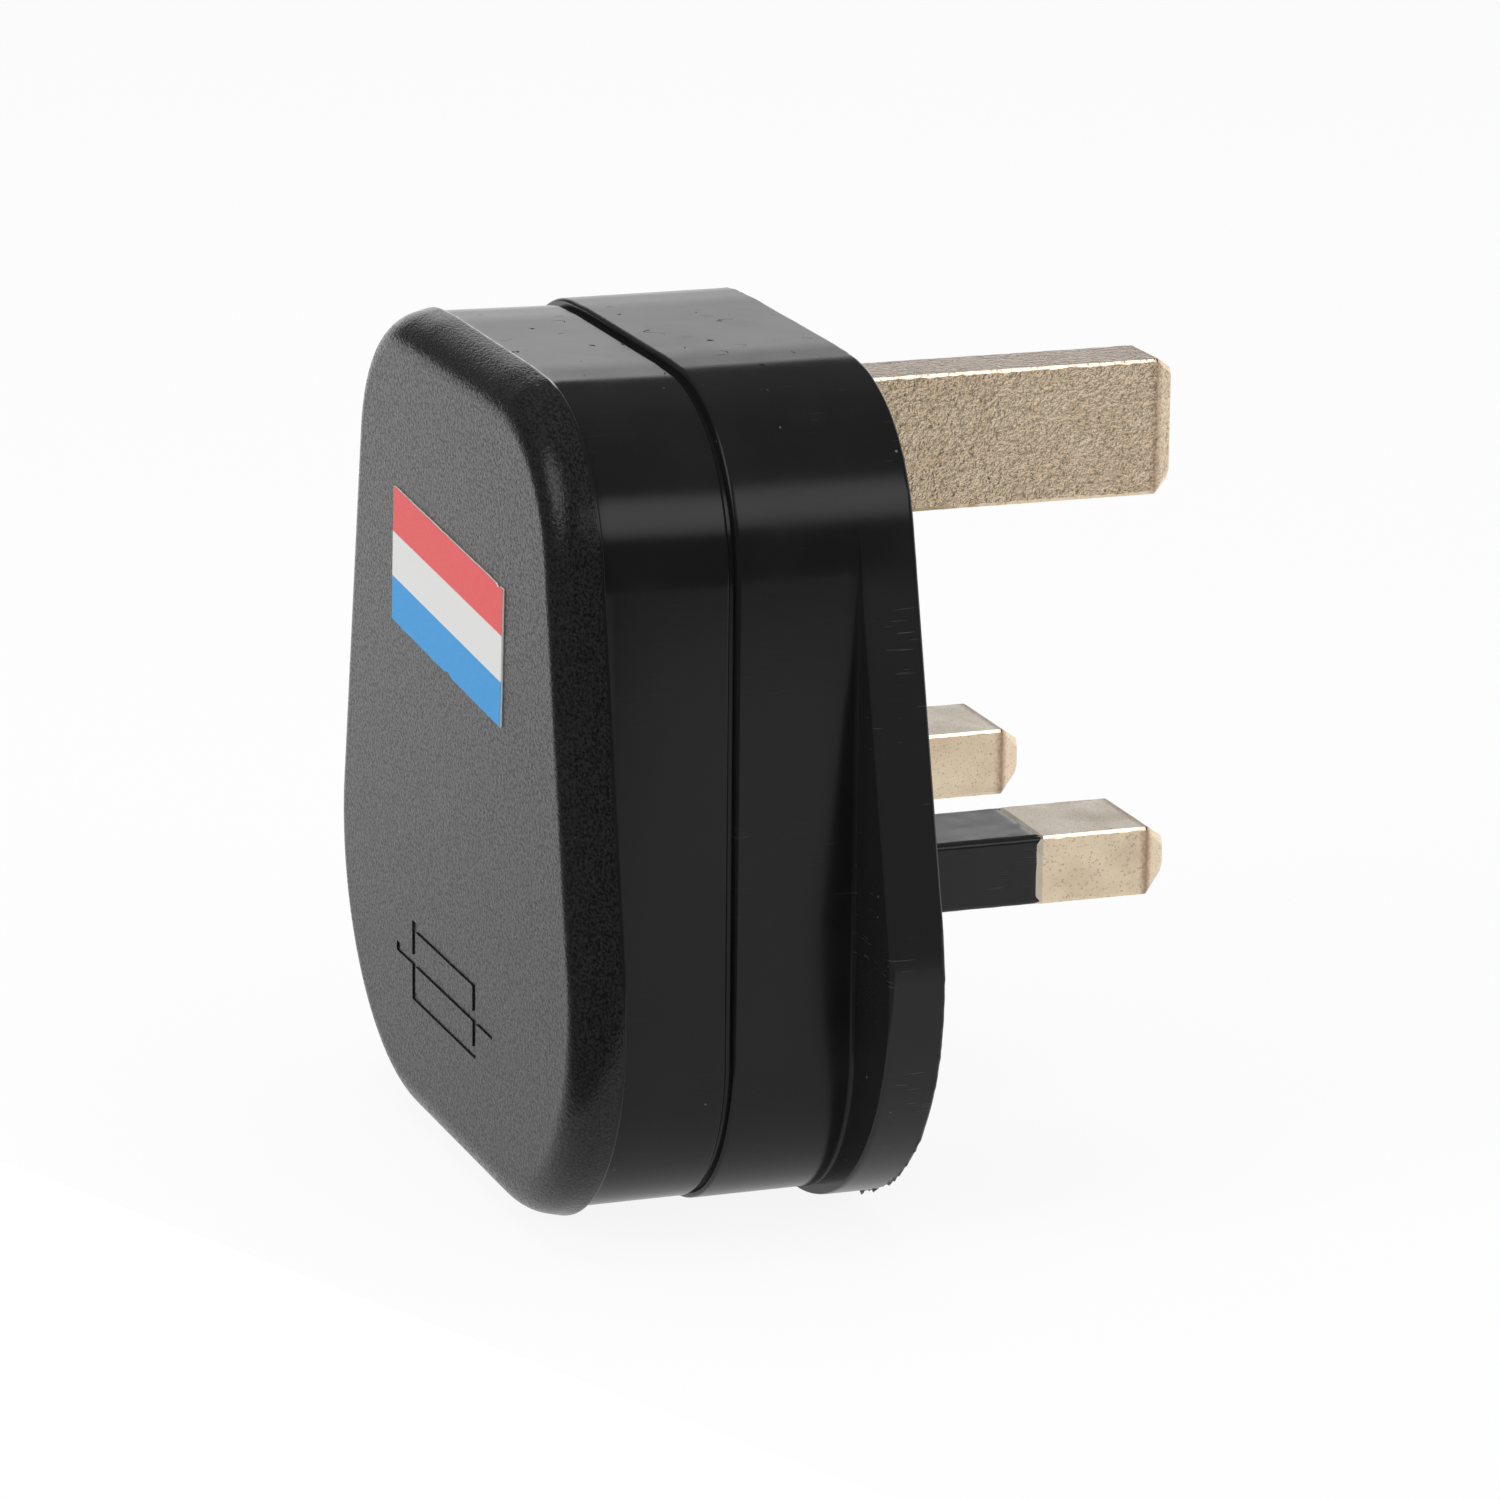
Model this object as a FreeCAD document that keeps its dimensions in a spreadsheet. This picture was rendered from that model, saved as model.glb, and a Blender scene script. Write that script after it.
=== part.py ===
# UK three pin plug, fused and rewirable, with sleeved live and neutral pins.
# X runs to the right seen from the cover, Y towards the socket and Z up.
# The origin lies on the pin face, midway between the live and neutral pins.
# A depth is a distance behind the pin face, into the plug.
import FreeCAD, Part
import math
import os
import re
import Sketcher
from FreeCAD import Vector

sizes = {
    # Pins, at the standard's sizes
    "pin_pitch": 22.23,
    "earth_width": 4.0,
    "earth_height": 8.0,
    "earth_reach": 22.73,
    "earth_tip_long": 1.2,
    "earth_tip_deep": 0.8,
    "line_width": 6.35,
    "line_height": 4.0,
    "line_reach": 17.7,
    "line_tip_long": 1.4,
    "line_tip_deep": 1.0,
    "pin_edge": 0.35,
    "pin_fit": 0.08,
    "sleeve_reach": 9.5,
    "sleeve_thick": 0.55,
    # Housing outline: room around what it holds, flares and corners
    "head_room": 1.1,
    "side_room": 2.2,
    "flange_flare": 5.5,
    "front_flare": 4.0,
    "front_fall": 0.4,
    "corner_top": 10.0,
    "corner_low": 11.0,
    "flange_corner": 15.5,
    "front_corner": 15.0,
    # Housing depths and walls
    "flange_thick": 3.3,
    "floor_thick": 3.3,
    "parting_depth": 10.4,
    "step_depth": 17.9,
    "front_round": 2.5,
    "front_land": 0.2,
    "front_wall": 2.5,
    "wall": 2.2,
    "groove_width": 0.3,
    "groove_deep": 0.4,
    "cover_inset": 0.2,
    "lip_height": 1.0,
    "lip_thick": 0.8,
    "lip_fit": 0.1,
    # Cover screw, with its captive washer and brass bush
    "screw_rise": 8.0,
    "screw_dia": 4.0,
    "screw_tip_gap": 1.6,
    "screw_head": 7.0,
    "screw_head_tall": 2.2,
    "screw_fit": 0.3,
    "screw_sunk": 0.8,
    "boss_dia": 10.0,
    "thread_fit": 0.05,
    "slot_wide": 0.9,
    "slot_deep": 1.0,
    "retainer_dia": 8.0,
    "retainer_thick": 0.6,
    "insert_dia": 6.6,
    "insert_long": 5.6,
    # Terminals
    "head_side": 8.0,
    "head_tall": 7.5,
    "head_edge": 0.5,
    "wire_dia": 3.2,
    "wire_rise": 3.8,
    "clamp_dia": 3.5,
    "clamp_head": 5.6,
    "clamp_head_tall": 2.0,
    "block_wide": 6.0,
    "block_long": 6.5,
    "block_room": 2.5,
    # Fuse and its clips
    "fuse_long": 25.4,
    "fuse_dia": 6.35,
    "cap_long": 6.0,
    "cap_wall": 0.3,
    "cap_fit": 0.03,
    "fuse_gap": 0.7,
    "clip_long": 5.6,
    "clip_wide": 6.6,
    "clip_grip": 4.8,
    "clip_mouth": 4.5,
    "clip_rise": 1.0,
    "clip_fit": 0.05,
    "clip_sink": 0.3,
    "strip_thick": 0.6,
    "plate_tall": 2.0,
    "plate_margin": 0.6,
    "spigot_dia": 2.5,
    # Cord entry and grip
    "cord_hole": 8.0,
    "cord_room": 0.9,
    "arch_rise": 1.3,
    "grip_gap": 1.8,
    "grip_side": 1.2,
    "grip_room": 0.9,
    "grip_boss": 6.0,
    "grip_wide": 6.0,
    "grip_end": 3.2,
    "grip_thick": 2.5,
    "grip_round": 1.5,
    "grip_screw_dia": 2.9,
    "grip_screw_long": 6.5,
    "grip_screw_head": 5.4,
    "grip_screw_head_tall": 1.8,
    "ridge_wide": 1.0,
    "ridge_long": 7.0,
    "ridge_tall": 1.2,
    "ridge_pitch": 2.8,
    # Barriers in the base and hold-down ribs in the cover
    "barrier_gap": 0.6,
    "barrier_thick": 1.0,
    "barrier_room": 3.3,
    "barrier_drop": 5.0,
    "barrier_tall": 5.5,
    "rib_thick": 1.0,
    "rib_gap": 0.2,
    "rib_fit": 0.1,
    # Label on the front, put on a little askew
    "label_wide": 20.6,
    "label_high": 8.0,
    "label_thick": 0.12,
    "label_shift": 0.4,
    "label_rise": 14.3,
    "label_turn": 3.6,
}

# Below this, in millimetres or cubic millimetres, two values count as equal
tolerance = 0.001

doc = FreeCAD.newDocument("plug")
sheet = doc.addObject("Spreadsheet::Sheet", "Sizes")
for row, (alias, number) in enumerate(sizes.items(), start=1):
    sheet.set("A%d" % row, alias)
    sheet.set("B%d" % row, str(number))
    sheet.setAlias("B%d" % row, alias)
doc.recompute()


# Sizes and sketches

def cells(text):
    # Puts the sheet's name before each size in an expression.
    return re.sub(r"[a-z][a-z_]*", lambda word: "Sizes." + word.group(), text)


def value(text):
    return float(sheet.evalExpression(cells(text)))


def bind(thing, path, text):
    thing.setExpression(path, cells(text))


def new_body(name):
    body = doc.addObject("PartDesign::Body", name)
    body.Label = name
    return body


def attached(body, name, role, x, y, z):
    sketch = body.newObject("Sketcher::SketchObject", body.Name + "_" + name)
    plane = [thing for thing in body.Origin.OriginFeatures if thing.Role == role][0]
    sketch.AttachmentSupport = (plane, "")
    sketch.MapMode = "FlatFace"
    for axis, text in zip("xyz", (x, y, z)):
        bind(sketch, "AttachmentOffset.Base." + axis, text)
    return sketch


def at_depth(body, name, depth, x="0", z="0"):
    # A sketch parallel to the pin face, with its own origin at x and z.
    return attached(body, name, "XZ_Plane", x, z, depth)


def at_level(body, name, level, x, depth):
    # A horizontal sketch, with its own origin at x and a depth.
    return attached(body, name, "XY_Plane", x, "-(%s)" % depth, level)


def at_side(body, name, side, depth, z):
    # An upright sketch square to X, with its own origin at a depth and z.
    return attached(body, name, "YZ_Plane", "-(%s)" % depth, z, side)


def dimension(sketch, kind, refs, text):
    index = sketch.addConstraint(Sketcher.Constraint(kind, *refs, value(text)))
    label = "size%d" % index
    sketch.renameConstraint(index, label)
    bind(sketch, "Constraints." + label, text)


def outline(sketch, shape, inset="0"):
    # Four lines and four tangent arcs, with sides that may flare between the two half widths.
    upper, lower, top, drop, round_top, round_low = ["%s - %s" % (text, inset) for text in shape]
    radius_top = value(round_top)
    radius_low = value(round_low)
    centre_top = Vector(value(upper) - radius_top, value(top) - radius_top, 0)
    centre_low = Vector(value(lower) - radius_low, radius_low - value(drop), 0)
    span = centre_low - centre_top
    tilt = math.atan2(span.y, span.x) + math.acos((radius_top - radius_low) / span.Length)
    quarter = math.pi / 2

    def arc(centre, radius, start, end):
        return Part.ArcOfCircle(Part.Circle(centre, Vector(0, 0, 1), radius), start, end)

    def mirrored(point):
        return Vector(-point.x, point.y, 0)

    low_right = arc(centre_low, radius_low, -quarter, tilt)
    top_right = arc(centre_top, radius_top, tilt, quarter)
    top_left = arc(mirrored(centre_top), radius_top, quarter, 2 * quarter - tilt)
    low_left = arc(mirrored(centre_low), radius_low, 2 * quarter - tilt, 3 * quarter)
    arcs = [low_right, top_right, top_left, low_left]
    first = sketch.GeometryCount
    for before, after in zip([low_left, low_right, top_right, top_left], arcs):
        sketch.addGeometry(Part.LineSegment(before.EndPoint, after.StartPoint))
        sketch.addGeometry(after)
    for step in range(8):
        following = first + (step + 1) % 8
        sketch.addConstraint(Sketcher.Constraint("Tangent", first + step, 2, following, 1))
    low, high, high_left, left = [first + step for step in (1, 3, 5, 7)]
    sketch.addConstraint(Sketcher.Constraint("Symmetric", low, 3, left, 3, -2))
    sketch.addConstraint(Sketcher.Constraint("Symmetric", high, 3, high_left, 3, -2))
    sketch.addConstraint(Sketcher.Constraint("Equal", low, left))
    sketch.addConstraint(Sketcher.Constraint("Equal", high, high_left))
    dimension(sketch, "Radius", (low,), round_low)
    dimension(sketch, "Radius", (high,), round_top)
    dimension(sketch, "DistanceX", (-1, 1, low, 3), "%s - (%s)" % (lower, round_low))
    dimension(sketch, "DistanceX", (-1, 1, high, 3), "%s - (%s)" % (upper, round_top))
    dimension(sketch, "DistanceY", (low, 3, -1, 1), "%s - (%s)" % (drop, round_low))
    dimension(sketch, "DistanceY", (-1, 1, high, 3), "%s - (%s)" % (top, round_top))


def bar(width, height, edge):
    # The outline of a bar with rounded edges, centred on its sketch.
    half_width = "(%s) / 2" % width
    half_height = "(%s) / 2" % height
    return (half_width, half_width, half_height, half_height, edge, edge)


def rectangle(sketch, width, height):
    half = Vector(value(width) / 2, value(height) / 2, 0)
    corners = [Vector(-half.x, -half.y, 0), Vector(half.x, -half.y, 0), half, Vector(-half.x, half.y, 0)]
    for step in range(4):
        sketch.addGeometry(Part.LineSegment(corners[step], corners[(step + 1) % 4]))
    for step in range(4):
        sketch.addConstraint(Sketcher.Constraint("Coincident", step, 2, (step + 1) % 4, 1))
        sketch.addConstraint(Sketcher.Constraint(("Horizontal", "Vertical")[step % 2], step))
    sketch.addConstraint(Sketcher.Constraint("Symmetric", 0, 1, 2, 1, -1, 1))
    dimension(sketch, "DistanceX", (0, 1, 0, 2), width)
    dimension(sketch, "DistanceY", (1, 1, 1, 2), height)


def circle(sketch, diameter):
    index = sketch.addGeometry(Part.Circle(Vector(0, 0, 0), Vector(0, 0, 1), value(diameter) / 2))
    sketch.addConstraint(Sketcher.Constraint("Coincident", index, 3, -1, 1))
    dimension(sketch, "Diameter", (index,), diameter)


def ring(sketch, outer, inner):
    circle(sketch, outer)
    circle(sketch, inner)


# Features

def pad(body, sketch, length, reverse=False):
    feature = body.newObject("PartDesign::Pad", sketch.Name + "_pad")
    feature.Profile = sketch
    feature.Reversed = reverse
    bind(feature, "Length", length)
    doc.recompute()


def lofted(body, kind, first, second):
    feature = body.newObject("PartDesign::" + kind, second.Name + "_loft")
    feature.Profile = first
    feature.Sections = [second]
    feature.Ruled = True
    doc.recompute()


def pocket(body, sketch, length, reverse=False):
    volume = body.Shape.Volume
    feature = body.newObject("PartDesign::Pocket", sketch.Name + "_cut")
    feature.Profile = sketch
    feature.Reversed = reverse
    bind(feature, "Length", length)
    doc.recompute()
    if body.Shape.Volume > volume - tolerance:
        raise ValueError(sketch.Name + " cuts nothing")


def edges_at_depth(shape, depth):
    names = []
    for index, edge in enumerate(shape.Edges, start=1):
        if all(abs(vertex.Y + depth) < tolerance for vertex in edge.Vertexes):
            names.append("Edge%d" % index)
    return names


def rounded(body, depth, radius):
    tip = body.Tip
    feature = body.newObject("PartDesign::Fillet", body.Name + "_round")
    feature.Base = (tip, edges_at_depth(tip.Shape, value(depth)))
    bind(feature, "Radius", radius)
    doc.recompute()


# Shared places: heights above the line pins, half widths and depths

top = "(pin_pitch + head_side / 2 + head_room + wall)"
half = "(pin_pitch / 2 + head_side / 2 + side_room + wall)"
block_top = "(%s - wall - block_room)" % top
block_middle = "(%s - block_long / 2)" % block_top
fuse_head = "(%s - block_long - fuse_gap)" % block_top
fuse_foot = "(%s - fuse_long)" % fuse_head
upper_clip = "(%s - cap_long / 2)" % fuse_head
lower_clip = "(%s + cap_long / 2)" % fuse_foot
grip_z = "(%s - grip_gap - grip_wide / 2)" % fuse_foot
drop = "(grip_wide / 2 + grip_room + wall - %s)" % grip_z
live_x = "pin_pitch / 2"
neutral_x = "-pin_pitch / 2"
grip_x = "(cord_hole / 2 + grip_side + grip_boss / 2)"
clip_half = "(fuse_dia / 2 + clip_fit + strip_thick)"
head_top = "(floor_thick + head_tall)"
plate_top = "(floor_thick + plate_tall)"
wire_depth = "(floor_thick + wire_rise)"
head_seat = "(screw_sunk + screw_head_tall)"
cover_boss_end = "(parting_depth + retainer_thick)"
front_depth = "(step_depth + front_round + front_land)"
front_inside = "(%s - front_wall)" % front_depth
fuse_depth = "(%s + strip_thick + %s - clip_sink)" % (plate_top, clip_half)
cord_depth = "(floor_thick + cord_room + cord_hole / 2)"
grip_seat = "(floor_thick + cord_room + cord_hole - arch_rise)"

# Shared outlines

body_shape = (half, half, top, drop, "corner_top", "corner_low")
flange_shape = (half, half + " + flange_flare", top, drop, "corner_top", "flange_corner")
front_shape = (half, half + " + front_flare", top + " - front_fall", drop, "corner_top", "front_corner")
neck_shape = (half, half, top + " - front_fall", drop, "corner_top", "corner_low")
line_bar = bar("line_width", "line_height", "pin_edge")
line_core = bar("line_width - 2 * sleeve_thick", "line_height - 2 * sleeve_thick", "pin_edge")


# Housing

def make_base():
    body = new_body("base")
    flange = at_depth(body, "flange", "0")
    outline(flange, flange_shape)
    pad(body, flange, "flange_thick")
    walls = at_depth(body, "walls", "0")
    outline(walls, body_shape)
    pad(body, walls, "parting_depth")
    cavity = at_depth(body, "cavity", "parting_depth")
    outline(cavity, body_shape, "wall")
    pocket(body, cavity, "parting_depth - floor_thick")
    lip = at_depth(body, "lip", "parting_depth")
    outline(lip, body_shape, "(wall - lip_thick)")
    outline(lip, body_shape, "wall")
    pad(body, lip, "lip_height")
    boss = at_depth(body, "boss", "floor_thick", z="screw_rise")
    circle(boss, "boss_dia")
    pad(body, boss, "parting_depth - floor_thick")
    rise = "(%s - wall - barrier_room)" % top
    for side, name, inner in (("", "right", clip_half), ("-", "left", "head_side / 2")):
        post = at_depth(body, "post_" + name, "floor_thick", side + grip_x, grip_z)
        circle(post, "grip_boss")
        pad(body, post, grip_seat + " - floor_thick")
        pilot = at_depth(body, "pilot_" + name, grip_seat, side + grip_x, grip_z)
        circle(pilot, "grip_screw_dia + 2 * thread_fit")
        pocket(body, pilot, "grip_screw_long - grip_thick + thread_fit")
        barrier_x = "%s(%s - %s - barrier_gap - barrier_thick / 2)" % (side, live_x, inner)
        barrier_z = "(%s - barrier_drop) / 2" % rise
        barrier = at_depth(body, "barrier_" + name, "floor_thick", barrier_x, barrier_z)
        rectangle(barrier, "barrier_thick", rise + " + barrier_drop")
        pad(body, barrier, "barrier_tall")
    for sign, name in (("+", "upper"), ("-", "lower")):
        ridge = at_depth(body, "ridge_" + name, "floor_thick", z="%s %s ridge_pitch / 2" % (grip_z, sign))
        rectangle(ridge, "ridge_long", "ridge_wide")
        pad(body, ridge, "ridge_tall")
    earth = at_depth(body, "earth_opening", "floor_thick", z="pin_pitch")
    outline(earth, bar("earth_width + 2 * pin_fit", "earth_height + 2 * pin_fit", "pin_edge"))
    pocket(body, earth, "floor_thick")
    for x, name in ((live_x, "live"), (neutral_x, "neutral")):
        opening = at_depth(body, name + "_opening", "floor_thick", x)
        outline(opening, bar("line_width + 2 * pin_fit", "line_height + 2 * pin_fit", "pin_edge"))
        pocket(body, opening, "floor_thick")
    bore = at_depth(body, "screw_bore", "0", z="screw_rise")
    circle(bore, "screw_dia + 2 * screw_fit")
    pocket(body, bore, "parting_depth", reverse=True)
    recess = at_depth(body, "screw_recess", "0", z="screw_rise")
    circle(recess, "screw_head + 2 * screw_fit")
    pocket(body, recess, head_seat, reverse=True)
    cord_entry(body)
    return body


def cord_entry(body):
    entry = at_level(body, "cord_entry", "wall - " + drop, "0", cord_depth)
    circle(entry, "cord_hole")
    pocket(body, entry, "2 * wall")


def make_cover():
    body = new_body("cover")
    rim = at_depth(body, "rim", "parting_depth")
    outline(rim, body_shape, "groove_deep")
    pad(body, rim, "groove_width")
    waist = at_depth(body, "waist", "parting_depth + groove_width")
    outline(waist, body_shape, "cover_inset")
    neck = at_depth(body, "neck", "step_depth")
    outline(neck, neck_shape, "cover_inset")
    lofted(body, "AdditiveLoft", waist, neck)
    cap = at_depth(body, "cap", "step_depth")
    outline(cap, front_shape)
    pad(body, cap, front_depth + " - step_depth")
    rounded(body, front_depth, "front_round")
    mouth = at_depth(body, "mouth", "parting_depth")
    outline(mouth, body_shape, "wall")
    ceiling = at_depth(body, "ceiling", front_inside)
    outline(ceiling, neck_shape, "wall")
    lofted(body, "SubtractiveLoft", mouth, ceiling)
    recess = at_depth(body, "lip_recess", "parting_depth")
    outline(recess, body_shape, "(wall - lip_thick - lip_fit)")
    pocket(body, recess, "lip_height + lip_fit", reverse=True)
    boss = at_depth(body, "boss", front_inside, z="screw_rise")
    circle(boss, "boss_dia")
    pad(body, boss, "%s - %s" % (front_inside, cover_boss_end), reverse=True)
    bore = at_depth(body, "insert_bore", cover_boss_end, z="screw_rise")
    circle(bore, "insert_dia + 2 * thread_fit")
    pocket(body, bore, "insert_long", reverse=True)
    hold_z = "(clamp_head / 2 + rib_gap + rib_thick / 2)"
    for x, z, name in (("0", "pin_pitch + " + hold_z, "earth"), (neutral_x, hold_z, "neutral")):
        rib = at_depth(body, "rib_" + name, front_inside, x, z)
        rectangle(rib, "head_side", "rib_thick")
        pad(body, rib, "%s - %s - rib_fit" % (front_inside, head_top), reverse=True)
    cord_entry(body)
    return body


def make_label():
    body = new_body("rating_label")
    sketch = at_depth(body, "face", front_depth, "-label_shift", "label_rise")
    sketch.setExpression("AttachmentOffset.Rotation.Angle", cells("-label_turn") + " * 1deg")
    rectangle(sketch, "label_wide", "label_high")
    pad(body, sketch, "label_thick")
    return body


# Pins and terminals

def pin_tip(body, x, z, width, height, reach, tip_long, tip_deep):
    neck = at_depth(body, "neck", "%s - %s" % (tip_long, reach), x, z)
    outline(neck, bar(width, height, "pin_edge"))
    tip = at_depth(body, "tip", "-" + reach, x, z)
    outline(tip, bar("%s - 2 * %s" % (width, tip_deep), "%s - 2 * %s" % (height, tip_deep), "pin_edge"))
    lofted(body, "AdditiveLoft", neck, tip)


def terminal_head(body, x, z):
    head = at_depth(body, "head", "floor_thick", x, z)
    outline(head, bar("head_side", "head_side", "head_edge"))
    pad(body, head, "head_tall")
    wire = at_level(body, "wire", z + " + head_side / 2", x, wire_depth)
    circle(wire, "wire_dia")
    pocket(body, wire, "head_side")
    clamp_bore(body, x, z)


def clamp_bore(body, x, z):
    bore = at_depth(body, "clamp", head_top, x, z)
    circle(bore, "clamp_dia + 2 * thread_fit")
    pocket(body, bore, "head_tall - wire_rise")


def make_earth_pin():
    body = new_body("earth_pin")
    shank = at_depth(body, "shank", "floor_thick", z="pin_pitch")
    outline(shank, bar("earth_width", "earth_height", "pin_edge"))
    pad(body, shank, "floor_thick + earth_reach - earth_tip_long", reverse=True)
    pin_tip(body, "0", "pin_pitch", "earth_width", "earth_height", "earth_reach",
            "earth_tip_long", "earth_tip_deep")
    terminal_head(body, "0", "pin_pitch")
    return body


def line_shank(body, x):
    core = at_depth(body, "core", "floor_thick", x)
    outline(core, line_core)
    pad(body, core, "floor_thick + sleeve_reach", reverse=True)
    shank = at_depth(body, "shank", "-sleeve_reach", x)
    outline(shank, line_bar)
    pad(body, shank, "line_reach - line_tip_long - sleeve_reach", reverse=True)
    pin_tip(body, x, "0", "line_width", "line_height", "line_reach", "line_tip_long", "line_tip_deep")


def make_neutral_pin():
    body = new_body("neutral_pin")
    line_shank(body, neutral_x)
    terminal_head(body, neutral_x, "0")
    return body


def make_live_pin():
    body = new_body("live_pin")
    line_shank(body, live_x)
    plate_rise = "(line_height / 2 + plate_margin)"
    plate_drop = "(clip_long / 2 - %s)" % lower_clip
    plate = at_depth(body, "plate", "floor_thick", live_x, "(%s - %s) / 2" % (plate_rise, plate_drop))
    outline(plate, bar("clip_wide", "%s + %s" % (plate_rise, plate_drop), "head_edge"))
    pad(body, plate, "plate_tall")
    spigot(body, lower_clip)
    return body


def spigot(body, z):
    stub = at_depth(body, "spigot", plate_top, live_x, z)
    circle(stub, "spigot_dia")
    pad(body, stub, "strip_thick")


def make_sleeve(name, x):
    body = new_body(name)
    tube = at_depth(body, "tube", "floor_thick", x)
    outline(tube, line_bar)
    outline(tube, line_core)
    pad(body, tube, "floor_thick + sleeve_reach", reverse=True)
    return body


def make_live_terminal():
    body = new_body("live_terminal")
    shelf_foot = "(%s - clip_long / 2)" % upper_clip
    shelf_head = "(%s + block_long / 2)" % block_middle
    shelf = at_depth(body, "shelf", "floor_thick", live_x, "(%s + %s) / 2" % (shelf_foot, shelf_head))
    outline(shelf, bar("block_wide", "%s - %s" % (shelf_head, shelf_foot), "head_edge"))
    pad(body, shelf, "plate_tall")
    block = at_depth(body, "block", "floor_thick", live_x, block_middle)
    outline(block, bar("block_wide", "block_long", "head_edge"))
    pad(body, block, "head_tall")
    spigot(body, upper_clip)
    wire = at_side(body, "wire", live_x + " + block_wide / 2", wire_depth, block_middle)
    circle(wire, "wire_dia")
    pocket(body, wire, "block_wide")
    clamp_bore(body, live_x, block_middle)
    return body


def make_clamp_screw(name, x, z):
    body = new_body(name)
    shank = at_depth(body, "shank", head_top, x, z)
    circle(shank, "clamp_dia")
    pad(body, shank, "head_tall - wire_rise", reverse=True)
    head = at_depth(body, "head", head_top, x, z)
    circle(head, "clamp_head")
    pad(body, head, "clamp_head_tall")
    slot = at_depth(body, "slot", head_top + " + clamp_head_tall", x, z)
    rectangle(slot, "clamp_head", "slot_wide")
    pocket(body, slot, "slot_deep")
    return body


# Cover screw

def make_cover_screw():
    body = new_body("cover_screw")
    shank = at_depth(body, "shank", head_seat, z="screw_rise")
    circle(shank, "screw_dia")
    pad(body, shank, "%s + insert_long - screw_tip_gap - %s" % (cover_boss_end, head_seat))
    head = at_depth(body, "head", head_seat, z="screw_rise")
    circle(head, "screw_head")
    pad(body, head, "screw_head_tall", reverse=True)
    slot = at_depth(body, "slot", "screw_sunk", z="screw_rise")
    rectangle(slot, "screw_head", "slot_wide")
    pocket(body, slot, "slot_deep", reverse=True)
    return body


def make_bush(name, depth, outer, length):
    body = new_body(name)
    section = at_depth(body, "section", depth, z="screw_rise")
    ring(section, outer, "screw_dia + 2 * thread_fit")
    pad(body, section, length)
    return body


# Fuse and clips

def make_fuse_tube():
    body = new_body("fuse_tube")
    section = at_level(body, "section", fuse_foot + " + cap_wall", live_x, fuse_depth)
    circle(section, "fuse_dia - 2 * cap_wall - 2 * cap_fit")
    pad(body, section, "fuse_long - 2 * cap_wall")
    return body


def make_fuse_cap(name, closed_end, mouth, reverse):
    body = new_body(name)
    end = at_level(body, "end", closed_end, live_x, fuse_depth)
    circle(end, "fuse_dia")
    pad(body, end, "cap_long", reverse)
    bore = at_level(body, "bore", mouth, live_x, fuse_depth)
    circle(bore, "fuse_dia - 2 * cap_wall")
    pocket(body, bore, "cap_long - cap_wall", reverse)
    return body


def make_fuse_clip(name, z):
    body = new_body(name)
    plate = at_depth(body, "plate", plate_top, live_x, z)
    outline(plate, bar("block_wide", "clip_long", "head_edge"))
    pad(body, plate, "strip_thick")
    spring = at_level(body, "spring", z + " - clip_grip / 2", live_x, fuse_depth)
    ring(spring, "fuse_dia + 2 * clip_fit + 2 * strip_thick", "fuse_dia + 2 * clip_fit")
    pad(body, spring, "clip_grip")
    opening_depth = fuse_depth + " + fuse_dia / 2 + clip_rise"
    opening = at_level(body, "opening", z + " + clip_grip / 2", live_x, opening_depth)
    rectangle(opening, "clip_mouth", "fuse_dia")
    pocket(body, opening, "clip_grip")
    hole = at_depth(body, "hole", plate_top, live_x, z)
    circle(hole, "spigot_dia + 2 * thread_fit")
    pocket(body, hole, "strip_thick", reverse=True)
    return body


# Cord grip

def make_cord_grip():
    body = new_body("cord_grip")
    strap = at_depth(body, "strap", grip_seat, z=grip_z)
    outline(strap, bar("2 * %s + 2 * grip_end" % grip_x, "grip_wide", "grip_round"))
    pad(body, strap, "grip_thick")
    arch = at_level(body, "arch", "grip_wide / 2 + " + grip_z, "0", cord_depth)
    circle(arch, "cord_hole")
    pocket(body, arch, "grip_wide")
    for side, name in (("", "right"), ("-", "left")):
        hole = at_depth(body, "hole_" + name, grip_seat, side + grip_x, grip_z)
        circle(hole, "grip_screw_dia + 2 * thread_fit")
        pocket(body, hole, "grip_thick", reverse=True)
    return body


def make_grip_screws():
    body = new_body("grip_screw")
    strap_top = "(%s + grip_thick)" % grip_seat
    shank = at_depth(body, "shank", strap_top, grip_x, grip_z)
    circle(shank, "grip_screw_dia")
    pad(body, shank, "grip_screw_long", reverse=True)
    head = at_depth(body, "head", strap_top, grip_x, grip_z)
    circle(head, "grip_screw_head")
    pad(body, head, "grip_screw_head_tall")
    slot = at_depth(body, "slot", strap_top + " + grip_screw_head_tall", grip_x, grip_z)
    rectangle(slot, "grip_screw_head", "slot_wide")
    pocket(body, slot, "slot_deep")
    twin = doc.addObject("Part::Mirroring", "grip_screw_twin")
    twin.Source = body
    twin.Normal = Vector(1, 0, 0)
    pair = doc.addObject("Part::Compound", "cord_grip_screws")
    pair.Links = [body, twin]
    pair.Label = "cord_grip_screws"
    return pair


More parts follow.
